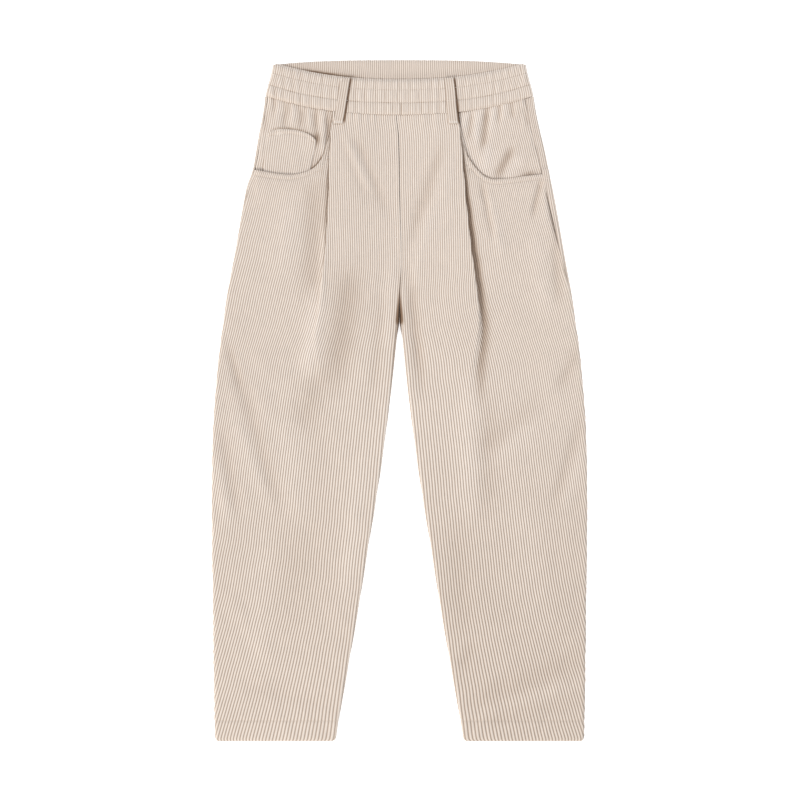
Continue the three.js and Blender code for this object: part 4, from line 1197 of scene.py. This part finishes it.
for word, leg in LEGS.items():
    add(f"front_panel_{word}", build_front, leg)
    add(f"back_panel_{word}", build_back, leg, SEATS[word])
    add(f"facing_cloth_{word}", build_facing, leg)
for seed, (word, loop) in enumerate(LOOPS.items(), 1):
    add(f"loop_strip_{word}", build_loop, loop, seed)
add("coin_pocket_cloth", build_coin_pocket)
add("band_front_cloth", build_front_band)
add("band_back_cloth", build_back_band)


# Stitches

depsgraph = bpy.context.evaluated_depsgraph_get()
surfaces = [BVHTree.FromObject(piece, depsgraph) for piece in pieces.values()]


def height_at(x, y):
    """The top of the cloth at a place in millimetres."""
    above = Vector((x * MM, y * MM, 0.1))
    hits = [tree.ray_cast(above, Vector((0, 0, -1)))[0] for tree in surfaces]
    return max(hit.z for hit in hits if hit is not None) / MM


def stitch(centre, along):
    """The points of one stitch lying on the cloth."""
    half = along * STITCH_LENGTH / 2
    heights = [height_at(*(centre + half * end)) for end in (-1, 1)]
    rise = np.array([-along[1], along[0]])
    points = []
    for t, wide in STITCH_RINGS:
        tall = mix(*heights, (t + 1) / 2) + 0.12 - 0.3 * t**4
        for k in range(STITCH_SIDES):
            turn = 2 * math.pi * k / STITCH_SIDES
            sideways = rise * math.cos(turn) * STITCH_RADIUS * wide
            upward = math.sin(turn) * STITCH_RADIUS * wide * 0.8
            points.append((*(centre + half * t + sideways), tall + upward))
    return points


def stitch_faces(start):
    rings, sides = len(STITCH_RINGS), STITCH_SIDES
    faces = []
    for ring in range(rings - 1):
        for k in range(sides):
            a, b = start + ring * sides + k, start + ring * sides + (k + 1) % sides
            faces.append((a, b, b + sides, a + sides))
    faces.append(tuple(start + k for k in range(sides))[::-1])
    faces.append(tuple(start + (rings - 1) * sides + k for k in range(sides)))
    return faces


def stitches_along(path, spacing=STITCH_SPACING, length=STITCH_LENGTH):
    """Stitch centres and directions, evenly spaced along a path of points."""
    steps = np.diff(path, axis=0)
    travelled = np.append(0, np.cumsum(np.linalg.norm(steps, axis=1)))
    places = np.arange(spacing / 2, travelled[-1] - length / 2, spacing)
    before, after = (
        np.stack([np.interp(places + step, travelled, path[:, k]) for k in (0, 1)], 1)
        for step in (-0.5, 0.5)
    )
    along = (after - before) / np.linalg.norm(after - before, axis=1)[:, None]
    return list(zip((before + after) / 2, along))


def sewn(name, seams):
    """One mesh of all the stitches in a list of seams."""
    points, faces = [], []
    for seam in seams:
        for centre, along in seam:
            faces += stitch_faces(len(points))
            points += stitch(centre, along)
    mesh = bpy.data.meshes.new(name)
    mesh.from_pydata((np.array(points) * MM).tolist(), [], faces)
    return smooth_object(name, mesh)


def at_drop(x, drop):
    return np.stack([x + 0 * drop, LENGTH / 2 - drop + 0 * x], 1)


def band_row(share):
    across = np.linspace(-178, 178, 90)
    return at_drop(across, mix(curved_drop(BAND_TOP, across), curved_drop(WAIST_SEAM, across), share))


def scoop_row(leg):
    """The row of stitches that runs below a scooped edge."""
    across = np.linspace(leg["fold_edge"](150) + 2, outer_edge(165) - 3, 120)
    edge = leg["scoop_drop"](across)
    slope = np.gradient(edge, across)
    lean = np.sqrt(1 + slope**2)
    x = across - slope / lean * STITCH_FROM_SCOOP
    drop = edge + STITCH_FROM_SCOOP / lean
    shown = x > leg["fold_edge"](drop) + 2
    return at_drop(leg["side"] * x[shown], drop[shown])


def hem_row(leg):
    across = np.linspace(inner_edge(HEM_DROP) + 2, outer_edge(HEM_DROP) - 2, 20)
    return at_drop(leg["side"] * across, HEM_DROP)


def coin_row():
    across = np.linspace(122, 181, 40)
    return at_drop(-across, coin_mouth(across) + COIN_STITCH_BELOW)


rows = {
    "waistband_stitches": [band_row(share) for share in BAND_ROWS[1:3]],
    "pocket_stitches": [scoop_row(leg) for leg in LEGS.values()] + [coin_row()],
    "hem_stitches": [hem_row(leg) for leg in LEGS.values()],
}
threads = {name: sewn(name, [stitches_along(path) for path in paths]) for name, paths in rows.items()}


def bar_tack(x, drop, width, count=3, gap=0.75):
    """Short rows of close stitches that hold a corner."""
    across = np.linspace(x - width / 2, x + width / 2, 8)
    drops = [drop + (k - 1) * gap for k in range(count)]
    return [stitches_along(at_drop(across, at), TACK_SPACING, TACK_LENGTH) for at in drops]


tacks = []
for _, (x, drop) in LOOPS.values():
    tacks += bar_tack(x, drop - TACK_ABOVE_END, LOOP_WIDTH - 1.5)
tacks += bar_tack(*FLY_TACK, width=7, count=2)
threads["bar_tacks"] = sewn("bar_tacks", tacks)


# Materials

class Socket:
    """A shader socket or a number, with arithmetic that adds Math nodes."""

    def __init__(self, shader, value):
        self.shader = shader
        self.value = value

    def math(self, operation, other=None):
        values = [self.value] if other is None else [self.value, getattr(other, "value", other)]
        node = self.shader.node("ShaderNodeMath", {"operation": operation}, dict(enumerate(values)))
        return Socket(self.shader, node.outputs[0])

    def __add__(self, other):
        return self.math("ADD", other)

    __radd__ = __add__

    def __mul__(self, other):
        return self.math("MULTIPLY", other)

    __rmul__ = __mul__

    def __sub__(self, other):
        return self.math("SUBTRACT", other)

    def __rsub__(self, other):
        return self.math("MULTIPLY", -1).math("ADD", other)

    def __pow__(self, other):
        return self.math("POWER", other)


class Shader:
    """The nodes of one material."""

    def __init__(self, name, **constants):
        self.material = bpy.data.materials.new(name)
        self.material.use_nodes = True
        self.tree = self.material.node_tree
        self.surface = self.tree.nodes["Principled BSDF"]
        for key, value in constants.items():
            self.surface.inputs[key.replace("_", " ")].default_value = value

    def node(self, kind, settings=None, values=None):
        made = self.tree.nodes.new(kind)
        for key, value in (settings or {}).items():
            setattr(made, key, value)
        for key, value in (values or {}).items():
            value = getattr(value, "value", value)
            if isinstance(value, bpy.types.NodeSocket):
                self.tree.links.new(value, made.inputs[key])
            else:
                made.inputs[key].default_value = value
        return made

    def out(self, kind, settings=None, values=None, output=0):
        return Socket(self, self.node(kind, settings, values).outputs[output])

    def noise(self, place, scale, detail=3):
        values = {"Vector": place, "Scale": scale, "Detail": detail}
        return self.out("ShaderNodeTexNoise", {}, values)

    def grey(self, tones):
        return self.out("ShaderNodeCombineColor", {}, dict(enumerate(tones)))

    def blend(self, share, low, high, kind="MIX"):
        settings = {"data_type": "RGBA", "blend_type": kind}
        return self.out("ShaderNodeMix", settings, {0: share, 6: low, 7: high}, 2)

    def bump(self, strength, distance, height):
        values = {"Strength": strength, "Distance": distance, "Height": height}
        return self.out("ShaderNodeBump", {}, values)

    def feed(self, name, socket):
        self.tree.links.new(socket.value, self.surface.inputs[name])


def corduroy(name):
    """Ribbed cotton pile with a fine nap: pale crests, valleys darkened with painted shade, and
    painted shade that turns brown where it is deepest.
    """
    shader = Shader(
        name, Roughness=0.92, Specular_IOR_Level=0.25,
        Sheen_Weight=0.25, Sheen_Roughness=0.5, Sheen_Tint=(1.0, 0.95, 0.9, 1),
    )
    place = shader.out("ShaderNodeTexCoord", output=3)
    rib = shader.out("ShaderNodeAttribute", {"attribute_name": "rib"}, output=2)
    shade = shader.out("ShaderNodeAttribute", {"attribute_name": "shade"}, output=2)
    brushed = shader.out("ShaderNodeMapping", {}, {"Vector": place, "Scale": (1, 0.16, 1)})
    streaks = shader.noise(brushed, 420)
    nap = shader.noise(place, 2300)
    mottle = shader.noise(place, 16)
    # The rib attribute blends towards the valley colour: painted shade in the rib valleys.
    base = shader.blend(rib**1.3, VALLEY, CREST)
    light = 1 + (streaks - 0.5) * 0.2 + (nap - 0.5) * 0.16 + (mottle - 0.5) * 0.06
    # The shade attribute is painted shade and painted highlight: it darkens the tone, warmer as it
    # darkens, and the deepest painted shadow is blended towards a brown.
    tone_and_painted_shade = shader.grey([light + shade * share for share in (0.16, 0.2, 0.25)])
    base = shader.blend(1.0, base, tone_and_painted_shade, "MULTIPLY")
    painted_shadow_share = (shade * -0.5).math("MAXIMUM", 0).math("MINIMUM", 0.92)
    shader.feed("Base Color", shader.blend(painted_shadow_share, base, PAINTED_SHADOW_BROWN))
    shader.feed("Normal", shader.bump(0.35, 0.0004, nap * 0.6 + streaks * 0.4))
    return shader.material


def sewing_thread(name):
    """Twisted polyester thread, a little glossier than the cloth."""
    shader = Shader(name, Roughness=0.6, Sheen_Weight=0.1)
    place = shader.out("ShaderNodeTexCoord", output=3)
    twist = shader.noise(place, 1500, 2)
    light = 0.9 + twist * 0.2
    shader.feed("Base Color", shader.blend(1.0, THREAD, shader.grey([light] * 3), "MULTIPLY"))
    shader.feed("Normal", shader.bump(0.4, 0.0002, twist))
    return shader.material


cloth = corduroy("cream_corduroy")
thread = sewing_thread("cream_thread")
for piece in pieces.values():
    piece.data.materials.append(cloth)
for piece in threads.values():
    piece.data.materials.append(thread)


# What each piece stands for: each is attached to the root, and the part it stands for is hidden

def declare(name, node):
    piece = pieces[name]
    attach(piece, "root")
    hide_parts(node)


for word in LEGS:
    back = f"back_{word}"
    declare(f"back_panel_{word}", back)
    declare(f"facing_cloth_{word}", f"pocket_facing_{word}")
    declare(f"front_panel_{word}", f"front_{word}")
    declare(f"loop_strip_{word}", f"belt_loop_{word}")
declare("coin_pocket_cloth", "coin_pocket")
declare("band_front_cloth", "waistband_front")
declare("band_back_cloth", "waistband_back")
for piece in threads.values():
    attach(piece, "root")


# Floor, lights and camera

white_floor = Shader(
    "white_floor", Base_Color=(0.95, 0.95, 0.95, 1), Roughness=0.9, Specular_IOR_Level=0.1,
    Emission_Color=(1, 1, 1, 1), Emission_Strength=0.5,
)
floor_mesh = bpy.data.meshes.new("floor")
corners = [(-FLOOR_REACH, -FLOOR_REACH, 0), (FLOOR_REACH, -FLOOR_REACH, 0),
           (FLOOR_REACH, FLOOR_REACH, 0), (-FLOOR_REACH, FLOOR_REACH, 0)]
floor_mesh.from_pydata(corners, [], [(0, 1, 2, 3)])
floor_mesh.materials.append(white_floor.material)
floor = bpy.data.objects.new("floor", floor_mesh)
floor.location.z = cad_low.z - FLOOR_BELOW * MM
bpy.context.scene.collection.objects.link(floor)


def area_light(name, toward, distance, size, power, color):
    data = bpy.data.lights.new(name, "AREA")
    data.shape = "DISK"
    data.size = size
    data.energy = power
    data.color = color
    light = bpy.data.objects.new(name, data)
    direction = Vector(toward).normalized()
    light.location = direction * distance
    light.rotation_euler = (-direction).to_track_quat("-Z", "Y").to_euler()
    bpy.context.scene.collection.objects.link(light)


area_light(
    "key", toward=(-1.0, -0.75, 0.95), distance=6.0, size=2.1, power=268,
    color=(1.0, 0.985, 0.965),
)
area_light(
    "fill", toward=(0.8, 1.1, 1.3), distance=2.2, size=1.6, power=18,
    color=(0.86, 0.94, 1.04),
)
world = bpy.data.worlds.new("studio")
world.use_nodes = True
background = world.node_tree.nodes["Background"]
background.inputs["Color"].default_value = (1, 1, 1, 1)
background.inputs["Strength"].default_value = WORLD_LIGHT
bpy.context.scene.world = world

camera_data = bpy.data.cameras.new("camera")
camera_data.lens = LENS
camera_data.sensor_width = SENSOR
camera = bpy.data.objects.new("camera", camera_data)
above = FRAME_PIXELS * PIXEL * MM * LENS / SENSOR + CAMERA_OVER * MM
camera.location = (0.5 * PIXEL * MM, 0.5 * PIXEL * MM, above)
bpy.context.scene.collection.objects.link(camera)
bpy.context.scene.camera = camera
bpy.context.scene.view_settings.view_transform = "Standard"
bpy.context.scene.view_settings.look = "None"
